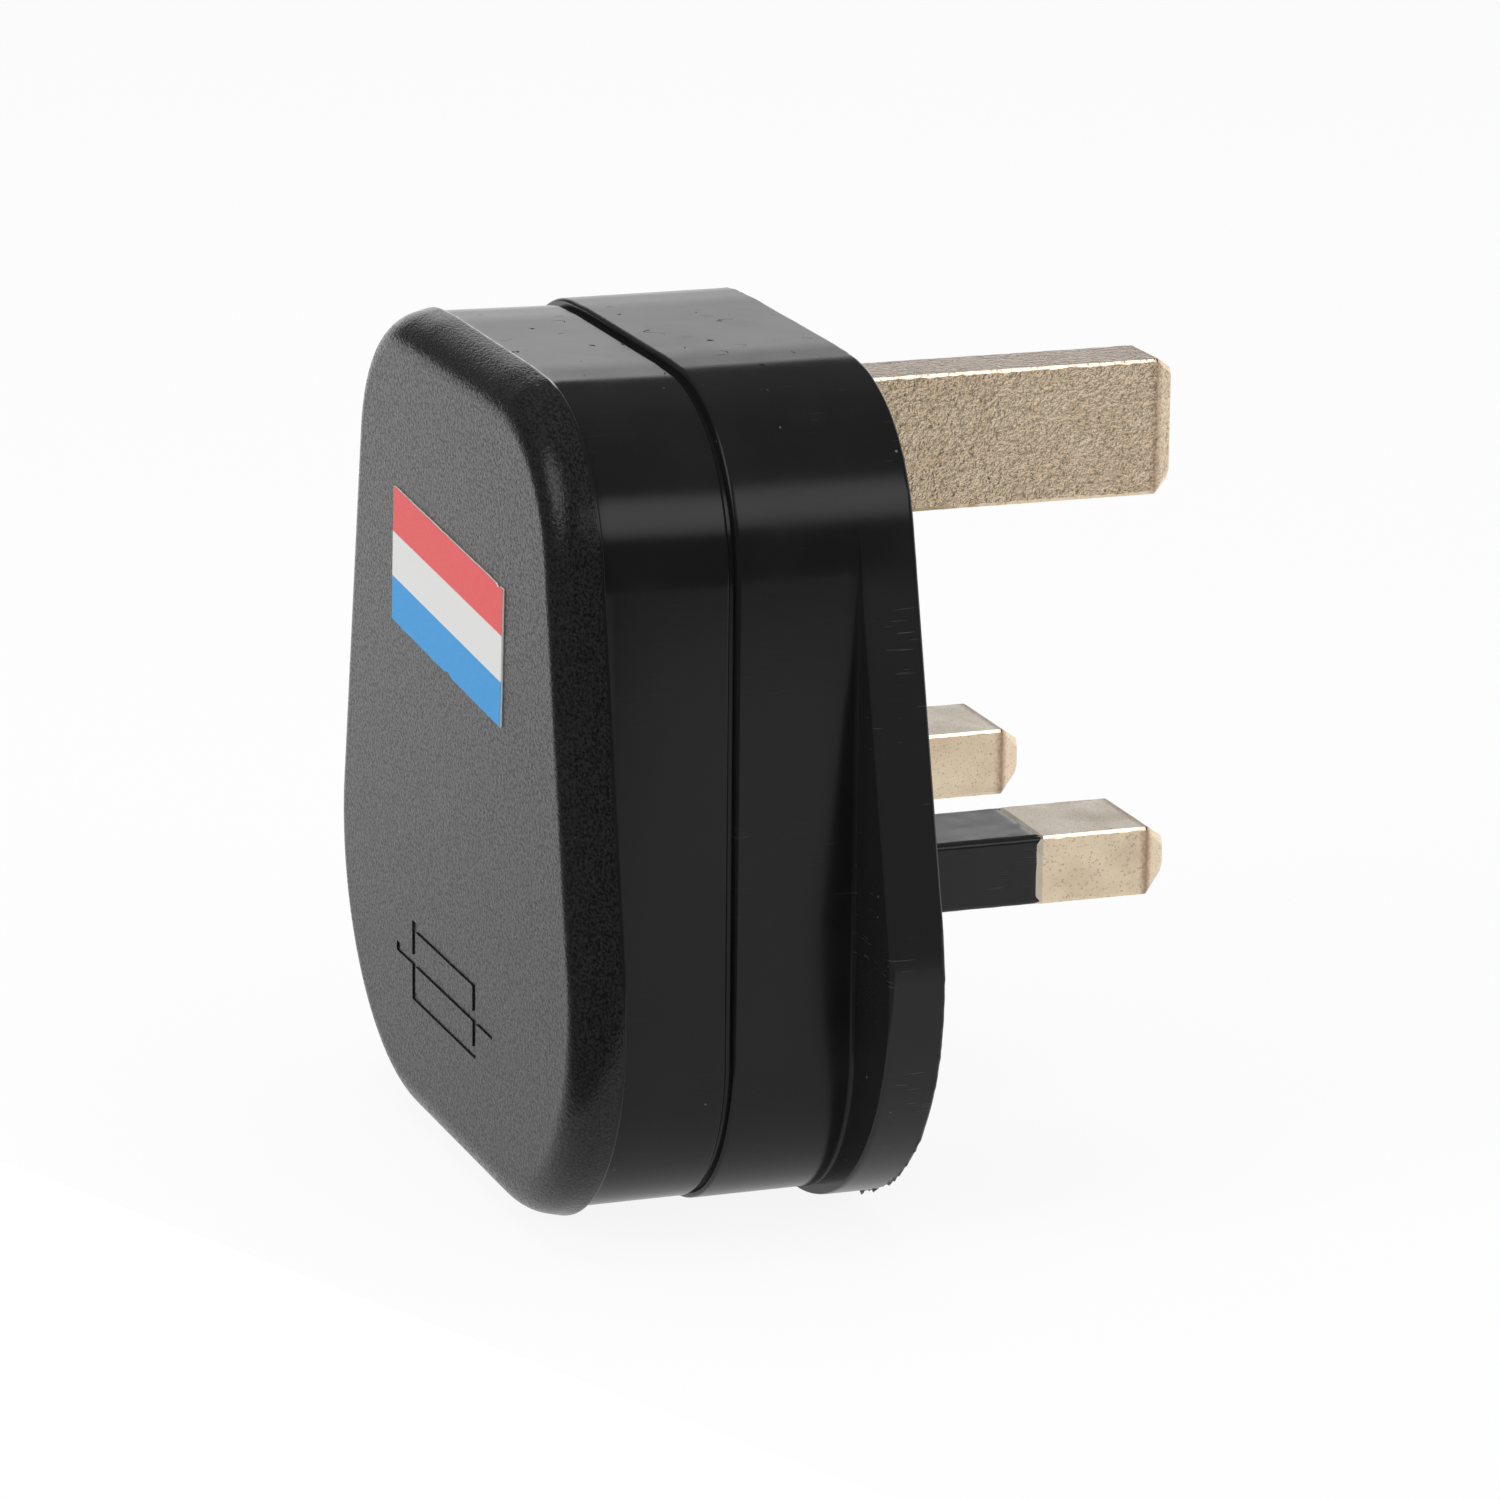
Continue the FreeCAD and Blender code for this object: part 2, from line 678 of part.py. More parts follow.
pieces = [
    make_base(),
    make_cover(),
    make_label(),
    make_cover_screw(),
    make_bush("screw_retainer", "parting_depth", "retainer_dia", "retainer_thick"),
    make_bush("cover_insert", cover_boss_end, "insert_dia", "insert_long"),
    make_earth_pin(),
    make_clamp_screw("earth_terminal_screw", "0", "pin_pitch"),
    make_neutral_pin(),
    make_sleeve("neutral_sleeve", neutral_x),
    make_clamp_screw("neutral_terminal_screw", neutral_x, "0"),
    make_live_pin(),
    make_sleeve("live_sleeve", live_x),
    make_live_terminal(),
    make_clamp_screw("live_terminal_screw", live_x, block_middle),
    make_fuse_clip("fuse_clip_lower", lower_clip),
    make_fuse_clip("fuse_clip_upper", upper_clip),
    make_fuse_tube(),
    make_fuse_cap("fuse_cap_lower", fuse_foot, fuse_foot + " + cap_long", False),
    make_fuse_cap("fuse_cap_upper", fuse_head, fuse_head + " - cap_long", True),
    make_cord_grip(),
    make_grip_screws(),
]
doc.recompute()

# Check every object, then write one file for each piece
for thing in doc.Objects:
    if "Invalid" in thing.State or "Error" in thing.State:
        raise ValueError(thing.Name + " failed")
for piece in pieces:
    if piece.Shape.isNull() or not piece.Shape.isValid():
        raise ValueError(piece.Label + " has no valid shape")
os.makedirs("parts", exist_ok=True)
for piece in pieces:
    piece.Shape.exportStep("parts/%s.step" % piece.Label)
    print("%-24s %2d solid, %8.1f mm3" % (piece.Label, len(piece.Shape.Solids), piece.Shape.Volume))
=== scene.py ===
import math
import bmesh
import bpy
from mathutils import Matrix, Vector, noise
from mathutils.geometry import delaunay_2d_cdt


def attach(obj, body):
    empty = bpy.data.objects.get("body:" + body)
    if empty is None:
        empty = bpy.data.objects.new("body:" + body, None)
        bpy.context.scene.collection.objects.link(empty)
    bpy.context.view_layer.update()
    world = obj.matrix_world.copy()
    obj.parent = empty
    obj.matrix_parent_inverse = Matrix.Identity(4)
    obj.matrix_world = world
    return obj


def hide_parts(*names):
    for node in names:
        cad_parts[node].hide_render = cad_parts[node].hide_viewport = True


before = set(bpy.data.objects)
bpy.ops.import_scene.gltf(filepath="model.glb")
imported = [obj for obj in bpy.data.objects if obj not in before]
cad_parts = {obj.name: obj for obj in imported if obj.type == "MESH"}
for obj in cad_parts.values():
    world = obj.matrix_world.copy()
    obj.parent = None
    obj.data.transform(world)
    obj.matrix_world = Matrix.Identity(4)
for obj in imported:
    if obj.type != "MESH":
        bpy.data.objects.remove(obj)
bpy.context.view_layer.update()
mm = 0.001  # sizes below are in millimetres, meshes in metres
print("frame loaded,", len(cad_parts), "nodes")


# sizes that several pieces share
housing = {
    "half": 19.515, "flangeHalf": 25.015, "frontHalf": 23.515,
    "top": 29.44, "neckTop": (29.25, 29.37), "frontTop": 29.38, "drop": 18.67,
    "cornerTop": 10.0, "cornerLow": 11.0, "flangeCorner": 15.5, "frontCorner": 15.0,
    "wall": 2.2, "floor": 3.3, "parting": 10.4, "front": 20.6,
    "pinPitch": 22.23, "linePinX": 11.115, "earthSize": (4.0, 8.0), "lineSize": (6.35, 4.0),
    "coreSize": (5.25, 2.9), "sleeveReach": 9.5,
    "screwRise": 8.0, "gripX": 8.2, "gripZ": -12.57,
}
bodyShape = (housing["half"], housing["half"], housing["top"], housing["drop"],
             housing["cornerTop"], housing["cornerLow"])
flangeShape = (housing["half"], housing["flangeHalf"], housing["top"], housing["drop"],
               housing["cornerTop"], housing["flangeCorner"])
frontShape = (housing["half"], housing["frontHalf"], housing["frontTop"], housing["drop"],
              housing["cornerTop"], housing["frontCorner"])
waistShape, neckShape = [(housing["half"], housing["half"], top, housing["drop"],
                          housing["cornerTop"], housing["cornerLow"]) for top in housing["neckTop"]]
crown = {"before": 2.66, "after": 3.5, "slope": 0.038}  # how the flat top eases into its corners
steps = {"lowArc": 84, "topArc": 48, "frontArc": 16, "edgeArc": 6, "round": 56, "postRound": 40}
sharpFrom = 32.0  # degrees between faces that shade as an edge
nearEnds = (0.006, 0.02, 0.05, 0.1, 0.18, 0.28, 0.39, 0.5, 0.61, 0.72, 0.82, 0.9, 0.95, 0.98, 0.994)


# mesh helpers

def place(x, depth, z):
    # depth is measured back from the pin face
    return Vector((x, -depth, z)) * mm


def onArc(centre, radius, start, end, count):
    turns = [start + (end - start) * step / count for step in range(count + 1)]
    return [centre + Vector((math.cos(turn), math.sin(turn))) * radius for turn in turns]


def between(first, last, shares):
    return [first.lerp(last, share) for share in shares]


def blend(first, second, share):
    return [a.lerp(b, share) for a, b in zip(first, second)]


def shareOf(value, start, end):
    return max(0.0, min(1.0, (value - start) / (end - start)))


def crownFall(x, start, end):
    # a slight slope before the corner's start, which runs out behind it
    before, after, slope = crown["before"], crown["after"], crown["slope"]
    gone = shareOf(x, end, start + after)
    x = max(0.0, min(x - start + before, before + after))
    over = max(0.0, x - before)
    return gone * slope * (min(x, before) + over - over ** 2 / (2 * after))


def outlinePoints(shape, inset=0.0):
    # lines with rounded corners; every outline has the same number of points
    upper, lower, top, drop, roundTop, roundLow = [size - inset for size in shape]
    centreTop = Vector((upper - roundTop, top - roundTop))
    centreLow = Vector((lower - roundLow, roundLow - drop))
    span = centreLow - centreTop
    tilt = math.atan2(span.y, span.x) + math.acos((roundTop - roundLow) / span.length)
    lowArc = onArc(centreLow, roundLow, -math.pi / 2, tilt, steps["lowArc"])
    # the top corner has its points at the same angles on every outline, the first still on the slanted side
    topArc = []
    for step in range(steps["topArc"] + 1):
        angle = math.pi / 2 * step / steps["topArc"]
        reach = roundTop / math.cos(max(0.0, tilt - angle))
        topArc.append(centreTop + Vector((math.cos(angle), math.sin(angle))) * reach)
    foot = Vector((0.0, -drop))
    head = Vector((0.0, top))
    right = [foot] + between(foot, lowArc[0], nearEnds) + lowArc
    right += between(lowArc[-1], topArc[0], nearEnds) + topArc
    right += between(topArc[-1], head, nearEnds) + [head]
    right = [Vector((point.x, point.y - crownFall(point.x, centreTop.x, upper) * (point.y > centreTop.y)))
             for point in right]
    return right + [Vector((-point.x, point.y)) for point in reversed(right[1:-1])]


def barPoints(centre, width, height, edge):
    points = []
    for number, (sx, sz) in enumerate(((1, -1), (1, 1), (-1, 1), (-1, -1))):
        corner = centre + Vector((sx * (width / 2 - edge), sz * (height / 2 - edge)))
        start = (number - 1) * math.pi / 2
        arc = onArc(corner, edge, start, start + math.pi / 2, steps["edgeArc"])
        points += between(points[-1], arc[0], nearEnds) if points else []
        points += arc
    return points + between(points[-1], points[0], nearEnds)


def circlePoints(centre, radius, count=steps["round"]):
    return onArc(centre, radius, 0.0, 2 * math.pi, count)[:-1]


def roundedPath(corners, radii, count=steps["edgeArc"], support=0.05):
    # a profile whose inner corners become arcs, with a close point on each side of every arc
    path = [Vector(corners[0])]
    for before, corner, after, radius in zip(corners, corners[1:], corners[2:], radii):
        corner = Vector(corner)
        came = (corner - Vector(before)).normalized()
        goes = (Vector(after) - corner).normalized()
        turn = came.angle(goes)
        side = (goes - came * math.cos(turn)).normalized()
        reach = radius * math.tan(turn / 2)
        centre = corner - came * reach + side * radius
        path.append(corner - came * (reach + support))
        for step in range(count + 1):
            bend = turn * step / count
            path.append(centre + (came * math.sin(bend) - side * math.cos(bend)) * radius)
        path.append(corner + goes * (reach + support))
    return path + [Vector(corners[-1])]


def addRing(bm, points, depth):
    depths = depth if isinstance(depth, list) else [depth] * len(points)
    return [bm.verts.new(place(point.x, each, point.y)) for point, each in zip(points, depths)]


def stitch(bm, first, second):
    for step in range(len(first)):
        after = (step + 1) % len(first)
        face = bm.faces.new((first[step], first[after], second[after], second[step]))
        face.smooth = True


def skin(bm, rings):
    for first, second in zip(rings, rings[1:]):
        stitch(bm, first, second)
    return rings[-1]


def insideLoop(point, loop):
    inside = False
    for a, b in zip(loop, loop[1:] + loop[:1]):
        if (a.y > point.y) != (b.y > point.y):
            if point.x < a.x + (point.y - a.y) * (b.x - a.x) / (b.y - a.y):
                inside = not inside
    return inside


def cap(bm, *loops):
    # a flat face through the first loop, with the other loops as holes
    verts = [vert for loop in loops for vert in loop]
    flats = [[Vector((vert.co.x, vert.co.z)) / mm for vert in loop] for loop in loops]
    edges = []
    for flat in flats:
        start = len(edges)
        edges += [(start + step, start + (step + 1) % len(flat)) for step in range(len(flat))]
    points = [point for flat in flats for point in flat]
    result = delaunay_2d_cdt(points, edges, [], 0, 1e-6)
    for corners in result[2]:
        middle = sum((result[0][corner] for corner in corners), Vector((0, 0))) / len(corners)
        if sum(insideLoop(middle, flat) for flat in flats) % 2:
            face = bm.faces.new([verts[result[3][corner][0]] for corner in corners])
            face.smooth = False


def tower(bm, points, foot, head):
    # an upright wall between two depths; gives the loop at its foot and the one at its head
    first = addRing(bm, points, foot)
    second = addRing(bm, points, head)
    stitch(bm, first, second)
    return first, second


def finishMesh(bm, name, sharp=sharpFrom):
    bmesh.ops.remove_doubles(bm, verts=bm.verts, dist=1e-7)
    bmesh.ops.dissolve_degenerate(bm, edges=bm.edges, dist=1e-8)
    bmesh.ops.recalc_face_normals(bm, faces=bm.faces)
    mesh = bpy.data.meshes.new(name)
    bm.to_mesh(mesh)
    bm.free()
    mesh.set_sharp_from_angle(angle=math.radians(sharp))
    piece = bpy.data.objects.new(name, mesh)
    bpy.context.scene.collection.objects.link(piece)
    return piece


def flatten(piece):
    # the result of the modifiers becomes the piece's own mesh
    graph = bpy.context.evaluated_depsgraph_get()
    mesh = bpy.data.meshes.new_from_object(piece.evaluated_get(graph))
    piece.modifiers.clear()
    piece.data = mesh
    mesh.name = piece.name


# the round cord entry, which base and cover share; its mouth as rise and widening in flares
cordEntry = {
    "depth": 8.2, "radius": 4.0, "long": 3.0, "flare": 0.45,
    "mouth": ((1.0, 0.0), (0.4, 0.12), (0.1, 0.5), (0.0, 1.0), (-1.0, 2.0)),
}


def cutCord(piece):
    low, radius, flare = -housing["drop"], cordEntry["radius"], cordEntry["flare"]
    profile = [(low + cordEntry["long"], radius)]
    profile += [(low + rise * flare, radius + wider * flare) for rise, wider in cordEntry["mouth"]]
    bm = bmesh.new()
    rings = []
    for level, reach in profile:
        circle = circlePoints(Vector((0.0, cordEntry["depth"])), reach)
        rings.append([bm.verts.new(place(point.x, point.y, level)) for point in circle])
    skin(bm, rings)
    bm.faces.new(rings[0])
    bm.faces.new(rings[-1])
    cutter = finishMesh(bm, "cordCutter")
    cut = piece.modifiers.new("cordEntry", "BOOLEAN")
    cut.operation = "DIFFERENCE"
    cut.solver = "EXACT"
    cut.object = cutter
    flatten(piece)
    bpy.data.objects.remove(cutter)
    piece.data.set_sharp_from_angle(angle=math.radians(sharpFrom))


# base, with the finger flange and the pin face
base = {
    "flange": 3.3, "flangeEdge": 0.32, "valley": 0.3, "wallGap": 0.8, "partingEdge": 0.22,
    "pinEdge": 0.3, "rimWide": 1.2, "rimDeep": 0.6,
    "lipOuter": 1.4, "lipTall": 1.0, "lipEase": 0.1, "lipArc": 3,
    "pinFit": 0.08, "pinEdgeRound": 0.35,
    "recess": 3.8, "recessDeep": 3.0, "recessEase": 0.15, "bore": 2.3, "boss": 5.0,
    "post": 3.0, "postTop": 10.9, "pilot": 1.5, "pilotDeep": 4.05,
    "barrierX": (6.19, -6.015), "barrierThick": 1.0, "barrierTall": 5.5,
    "barrierLow": -5.0, "barrierHigh": 24.03,
    "ridge": (7.0, 1.0, 1.2), "ridgePitch": 2.8, "corner": 0.12,
}

# thin ragged flash along the rim of the pin face: where each part of it sets in and is full
flash = {
    "tall": 0.16, "always": 0.25, "tallLow": 0.4, "blend": 0.3,
    "grain": 1.9, "seed": 4.0, "toothGrain": 3.1, "tooth": 0.5, "more": 0.1,
    "below": (6.0, -8.0), "live": (4.0, 10.0), "bottom": (-12.5, -16.5), "within": (19.0, 13.0),
}

# steps between two outlines: the most of the gap that each rounding takes, and how far its hold lies off
stepEase = {"edge": 0.55, "valley": 0.25, "hold": 1.2}


def flashAt(point):
    # how far the mould's flash stands out, most of all on the live side, low down
    low = shareOf(point.y, *flash["below"])
    live = shareOf(point.x, *flash["live"])
    bottom = shareOf(point.y, *flash["bottom"]) * shareOf(point.x, *flash["within"])
    grain = noise.noise(Vector((point.x, flash["seed"], point.y)) * flash["grain"])
    tooth = noise.noise(Vector((point.x, -flash["seed"], point.y)) * flash["grain"] * flash["toothGrain"])
    ragged = max(0.0, grain + flash["tooth"] * tooth + flash["more"])
    tall = flash["tall"] * (flash["always"] + low * live) + flash["tallLow"] * bottom * live
    return ragged * tall


def stepRings(bm, outer, inner, depth, edge, valley, way):
    # the step from a wide outline down to a narrow one, which shrinks to nothing where the two meet
    gaps = [a - b for a, b in zip(outer, inner)]
    aim = [gap.normalized() for gap in gaps]
    edges = [min(edge, stepEase["edge"] * gap.length) for gap in gaps]
    valleys = [min(valley, stepEase["valley"] * gap.length) for gap in gaps]
    hold = stepEase["hold"]
    bends = [math.pi / 2 * step / steps["edgeArc"] for step in range(steps["edgeArc"] + 1)]
    rings = [addRing(bm, outer, [depth - way * hold * size for size in edges])]
    for bend in bends:
        points = [a - b * size * (1 - math.cos(bend)) for a, b, size in zip(outer, aim, edges)]
        rings.append(addRing(bm, points, [depth - way * size * (1 - math.sin(bend)) for size in edges]))
    rings.append(addRing(bm, [a - b * size * hold for a, b, size in zip(outer, aim, edges)], depth))
    rings.append(addRing(bm, [a + b * size * hold for a, b, size in zip(inner, aim, valleys)], depth))
    for bend in bends:
        points = [a + b * size * (1 - math.sin(bend)) for a, b, size in zip(inner, aim, valleys)]
        rings.append(addRing(bm, points, [depth + way * size * (1 - math.cos(bend)) for size in valleys]))
    return rings


def makeBase():
    bm = bmesh.new()
    body = outlinePoints(bodyShape)
    flange = outlinePoints(flangeShape)
    rings = []
    # pin face edge, with its flash
    edge = base["pinEdge"]
    rim = roundedPath([(edge + base["rimWide"], 0.0), (0.0, 0.0), (0.0, edge + base["rimDeep"])], [edge])
    inward = [(after - before).orthogonal().normalized()
              for before, after in zip(flange[-1:] + flange[:-1], flange[1:] + flange[:1])]
    for inset, depth in rim:
        points = outlinePoints(flangeShape, inset)
        if depth < edge:
            share = max(0.0, 1.0 - inset / (edge + flash["blend"]))
            points = [point - normal * flashAt(point) * share for point, normal in zip(points, inward)]
        rings.append(addRing(bm, points, depth))
    rings += stepRings(bm, flange, body, base["flange"], base["flangeEdge"], base["valley"], 1)
    # side wall, parting edge, lip and inner wall
    parting = housing["parting"]
    lipTop = parting + base["lipTall"]
    wall = housing["wall"]
    lipOuter = base["lipOuter"]
    outer = roundedPath([(0.0, base["flange"] + base["wallGap"]), (0.0, parting), (lipOuter, parting)],
                        [base["partingEdge"]])
    lip = roundedPath([(lipOuter, parting), (lipOuter, lipTop), (wall, lipTop), (wall, housing["floor"])],
                      [base["lipEase"], base["lipEase"]], base["lipArc"])
    for inset, depth in outer + lip[1:]:
        rings.append(addRing(bm, outlinePoints(bodyShape, inset), depth))
    inner = skin(bm, rings)
    pinFace = rings[0]
    # openings for the pins
    faceHoles = []
    floorHoles = []
    fit = 2 * base["pinFit"]
    for x, z, size in ((0.0, housing["pinPitch"], housing["earthSize"]),
                       (housing["linePinX"], 0.0, housing["lineSize"]),
                       (-housing["linePinX"], 0.0, housing["lineSize"])):
        slot = barPoints(Vector((x, z)), size[0] + fit, size[1] + fit, base["pinEdgeRound"])
        first, second = tower(bm, slot, 0.0, housing["floor"])
        faceHoles.append(first)
        floorHoles.append(second)
    # screw recess, bore and boss
    middle = Vector((0.0, housing["screwRise"]))
    path = [(base["recess"] + base["recessEase"], 0.0), (base["recess"], base["recessEase"]),
            (base["recess"], base["recessDeep"]), (base["bore"], base["recessDeep"]),
            (base["bore"], parting), (base["boss"], parting), (base["boss"], housing["floor"])]
    bossRings = [addRing(bm, circlePoints(middle, radius), depth) for radius, depth in path]
    skin(bm, bossRings)
    faceHoles.append(bossRings[0])
    floorHoles.append(bossRings[-1])
    # posts for the cord grip, barriers and ridges
    for side in (-1, 1):
        centre = Vector((side * housing["gripX"], housing["gripZ"]))
        path = [(base["post"], housing["floor"]), (base["post"], base["postTop"]),
                (base["pilot"], base["postTop"]), (base["pilot"], base["postTop"] - base["pilotDeep"])]
        post = [addRing(bm, circlePoints(centre, radius, steps["postRound"]), depth)
                for radius, depth in path]
        skin(bm, post)
        cap(bm, post[-1])
        floorHoles.append(post[0])
    blocks = []
    for x in base["barrierX"]:
        rise = base["barrierHigh"] - base["barrierLow"]
        blocks.append((x, base["barrierLow"] + rise / 2, base["barrierThick"], rise, base["barrierTall"]))
    for side in (-1, 1):
        long, wide, tall = base["ridge"]
        blocks.append((0.0, housing["gripZ"] + side * base["ridgePitch"] / 2, long, wide, tall))
    for x, z, width, height, tall in blocks:
        points = barPoints(Vector((x, z)), width, height, base["corner"])
        first, second = tower(bm, points, housing["floor"], housing["floor"] + tall)
        cap(bm, second)
        floorHoles.append(first)
    cap(bm, pinFace, *faceHoles)
    cap(bm, inner, *floorHoles)
    piece = finishMesh(bm, "plugBase")
    cutCord(piece)
    return piece


# cover: a straight neck under a wider front plate with a round edge and a sunk fuse sign
cover = {
    "step": 17.9, "frontRound": 2.3, "frontGap": 0.8, "lean": 0.6, "rim": 0.2, "plateEdge": 0.12,
    "valley": 0.35, "neckGap": 0.6, "inset": 0.2, "groove": 0.3, "grooveDeep": 0.4,
    "waistEdge": 0.17, "waistGap": 0.8, "waistArc": 5, "waistHold": 0.02,
    "recessInset": 1.3, "recessDeep": 1.1, "ceiling": 18.1,
    "boss": 5.0, "bossEnd": 11.0, "bore": 3.35, "boreDeep": 5.6,
    "rib": (8.0, 1.0), "ribEnd": 10.9, "ribs": ((0.0, 25.73), (-housing["linePinX"], 3.5)), "corner": 0.12,
    "signCentre": (-1.4, -8.7), "signBox": (11.6, 4.2), "signLine": 18.4,
    "signStroke": 0.6, "signDeep": 0.1,
}


def neckPoints(inset, depth):
    # the neck's top lies a little lower than the base's
    share = shareOf(depth, housing["parting"] + cover["groove"], cover["step"])
    return blend(outlinePoints(waistShape, inset), outlinePoints(neckShape, inset), share)


def signLoops():
    # one stroke round a box and through its middle: its outer edge and the two fields inside it
    centre = Vector(cover["signCentre"])
    width, height = cover["signBox"]
    thick = cover["signStroke"] / 2
    reach = cover["signLine"] / 2
    right, high = width / 2 + thick, height / 2 + thick
    outer = [(-right, -high), (right, -high), (right, -thick), (reach, -thick),
             (reach, thick), (right, thick), (right, high), (-right, high),
             (-right, thick), (-reach, thick), (-reach, -thick), (-right, -thick)]
    fields = []
    for low, top in ((-height / 2 + thick, -thick), (thick, height / 2 - thick)):
        inner = width / 2 - thick
        fields.append([(-inner, low), (inner, low), (inner, top), (-inner, top)])
    return [[centre + Vector(point) for point in loop] for loop in [outer] + fields]


def makeCover():
    bm = bmesh.new()
    parting, front = housing["parting"], housing["front"]
    waist = parting + cover["groove"]
    # front plate, whose round edge leans out to its rim
    radius = cover["frontRound"]
    edge = [(radius + cover["frontGap"], front), (cover["lean"], front), (0.0, cover["step"] + cover["rim"])]
    rings = [addRing(bm, outlinePoints(frontShape, inset), depth)
             for inset, depth in roundedPath(edge, [radius], steps["frontArc"])]
    plate = outlinePoints(frontShape)
    neck = neckPoints(cover["inset"], cover["step"])
    rings += stepRings(bm, plate, neck, cover["step"], cover["plateEdge"], cover["valley"], -1)
    # neck, groove at the parting, recess for the base's lip and inner wall
    neckIn, deep = cover["inset"], cover["grooveDeep"]
    back = roundedPath([(neckIn, waist + cover["waistGap"]), (neckIn, waist), (deep, waist)],
                       [cover["waistEdge"]], cover["waistArc"], cover["waistHold"])
    for inset, depth in [(neckIn, cover["step"] - cover["neckGap"])] + back + [(deep, parting)]:
        rings.append(addRing(bm, neckPoints(inset, depth), depth))
    rings.append(addRing(bm, outlinePoints(bodyShape, cover["recessInset"]), parting))
    recessEnd = parting + cover["recessDeep"]
    rings.append(addRing(bm, outlinePoints(bodyShape, cover["recessInset"]), recessEnd))
    for depth in (recessEnd, cover["ceiling"]):
        rings.append(addRing(bm, neckPoints(housing["wall"], depth), depth))
    inner = skin(bm, rings)
    # boss with the bore for the brass bush, and ribs that hold the pins down
    middle = Vector((0.0, housing["screwRise"]))
    boreEnd = cover["bossEnd"] + cover["boreDeep"]
    path = [(cover["boss"], cover["ceiling"]), (cover["boss"], cover["bossEnd"]),
            (cover["bore"], cover["bossEnd"]), (cover["bore"], boreEnd)]
    boss = [addRing(bm, circlePoints(middle, size), depth) for size, depth in path]
    skin(bm, boss)
    cap(bm, boss[-1])
    holes = [boss[0]]
    for x, z in cover["ribs"]:
        points = barPoints(Vector((x, z)), cover["rib"][0], cover["rib"][1], cover["corner"])
        first, second = tower(bm, points, cover["ceiling"], cover["ribEnd"])
        cap(bm, second)
        holes.append(first)
    cap(bm, inner, *holes)
    # the sunk fuse sign on the front
    sunk = front - cover["signDeep"]
    outer, lower, upper = [tower(bm, loop, front, sunk) for loop in signLoops()]
    cap(bm, outer[1], lower[1], upper[1])
    cap(bm, lower[0])
    cap(bm, upper[0])
    cap(bm, rings[0], outer[0])
    piece = finishMesh(bm, "plugCover")
    cutCord(piece)
    return piece


# label, stuck on a little askew, with two nicks in its edge
label = {
    "wide": 20.6, "high": 8.0, "thick": 0.12, "centre": (-0.4, 14.3), "turn": -3.6, "edge": 0.03,
    "across": 130, "up": 50, "wobble": 0.03, "wobbleGrain": 1.3, "wobbleSeed": 7.0,
    # each nick: place along the edge, which edge, half its width, its depth
    "nicks": ((9.35, 4.0, 0.35, 0.16), (0.6, -4.0, 0.6, 0.2)), "onEdge": 0.01,
}


def labelEdge():
    # the cut edge, counter-clockwise from the lower left corner
    wide, high = label["wide"] / 2, label["high"] / 2
    corners = [Vector((-wide, -high)), Vector((wide, -high)), Vector((wide, high)), Vector((-wide, high))]
    points = []
    for first, last, count in zip(corners, corners[1:] + corners[:1], (label["across"], label["up"]) * 2):
        points += between(first, last, [step / count for step in range(count)])
    shaped = []
    for point in points:
        inward = 0.0
        for u, v, wideNick, deepNick in label["nicks"]:
            if abs(point.y - v) < label["onEdge"] and abs(point.x - u) < wideNick:
                inward = deepNick * (1 - abs(point.x - u) / wideNick)
        spot = Vector((point.x, point.y, label["wobbleSeed"])) * label["wobbleGrain"]
        shake = noise.noise(spot) * label["wobble"]
        shaped.append(Vector((point.x + shake, point.y - math.copysign(inward, point.y) + shake)))
    turn = Matrix.Rotation(math.radians(label["turn"]), 2)
    return [turn @ point + Vector(label["centre"]) for point in shaped]


def makeLabel():
    bm = bmesh.new()
    outline = labelEdge()
    middle = Vector(label["centre"])
    foot = housing["front"]
    top = foot + label["thick"]
    eased = [middle + (point - middle) * (1 - label["edge"] / label["wide"]) for point in outline]
    rings = [addRing(bm, points, depth)
             for points, depth in ((outline, foot), (outline, top - label["edge"]), (eased, top))]
    skin(bm, rings)
    cap(bm, rings[0])
    cap(bm, rings[-1])
    return finishMesh(bm, "bandLabel")


# pins: the part outside the base is made fine, the terminal behind it is the frame's own
pins = {
    "bevel": (0.08, 0.19), "bevelMost": 0.3, "bevelEdge": 0.012, "bevelDrift": 0.5, "sharp": 15.0,
    "cut": 0.5, "lap": 0.1, "shoulder": (0.05, 0.45), "neckGap": 0.3, "spacing": 0.3,
    "ripple": 0.02, "rippleGrain": 1.7, "endRipple": 0.012,
    "endRound": 0.28, "endArc": 4, "endHold": 0.03, "endFlat": 0.5, "endSwell": 1.6,
    "rubbedFrom": (0.2, 0.15),
}
earthShape = {"centre": (0.0, housing["pinPitch"]), "size": housing["earthSize"],
              "reach": 22.73, "tip": (1.2, 0.8)}
liveShape = {"centre": (housing["linePinX"], 0.0), "size": housing["lineSize"],
             "reach": 17.7, "tip": (1.4, 1.0),
             "core": housing["coreSize"], "coreEnd": housing["sleeveReach"]}
neutralShape = {**liveShape, "centre": (-housing["linePinX"], 0.0)}


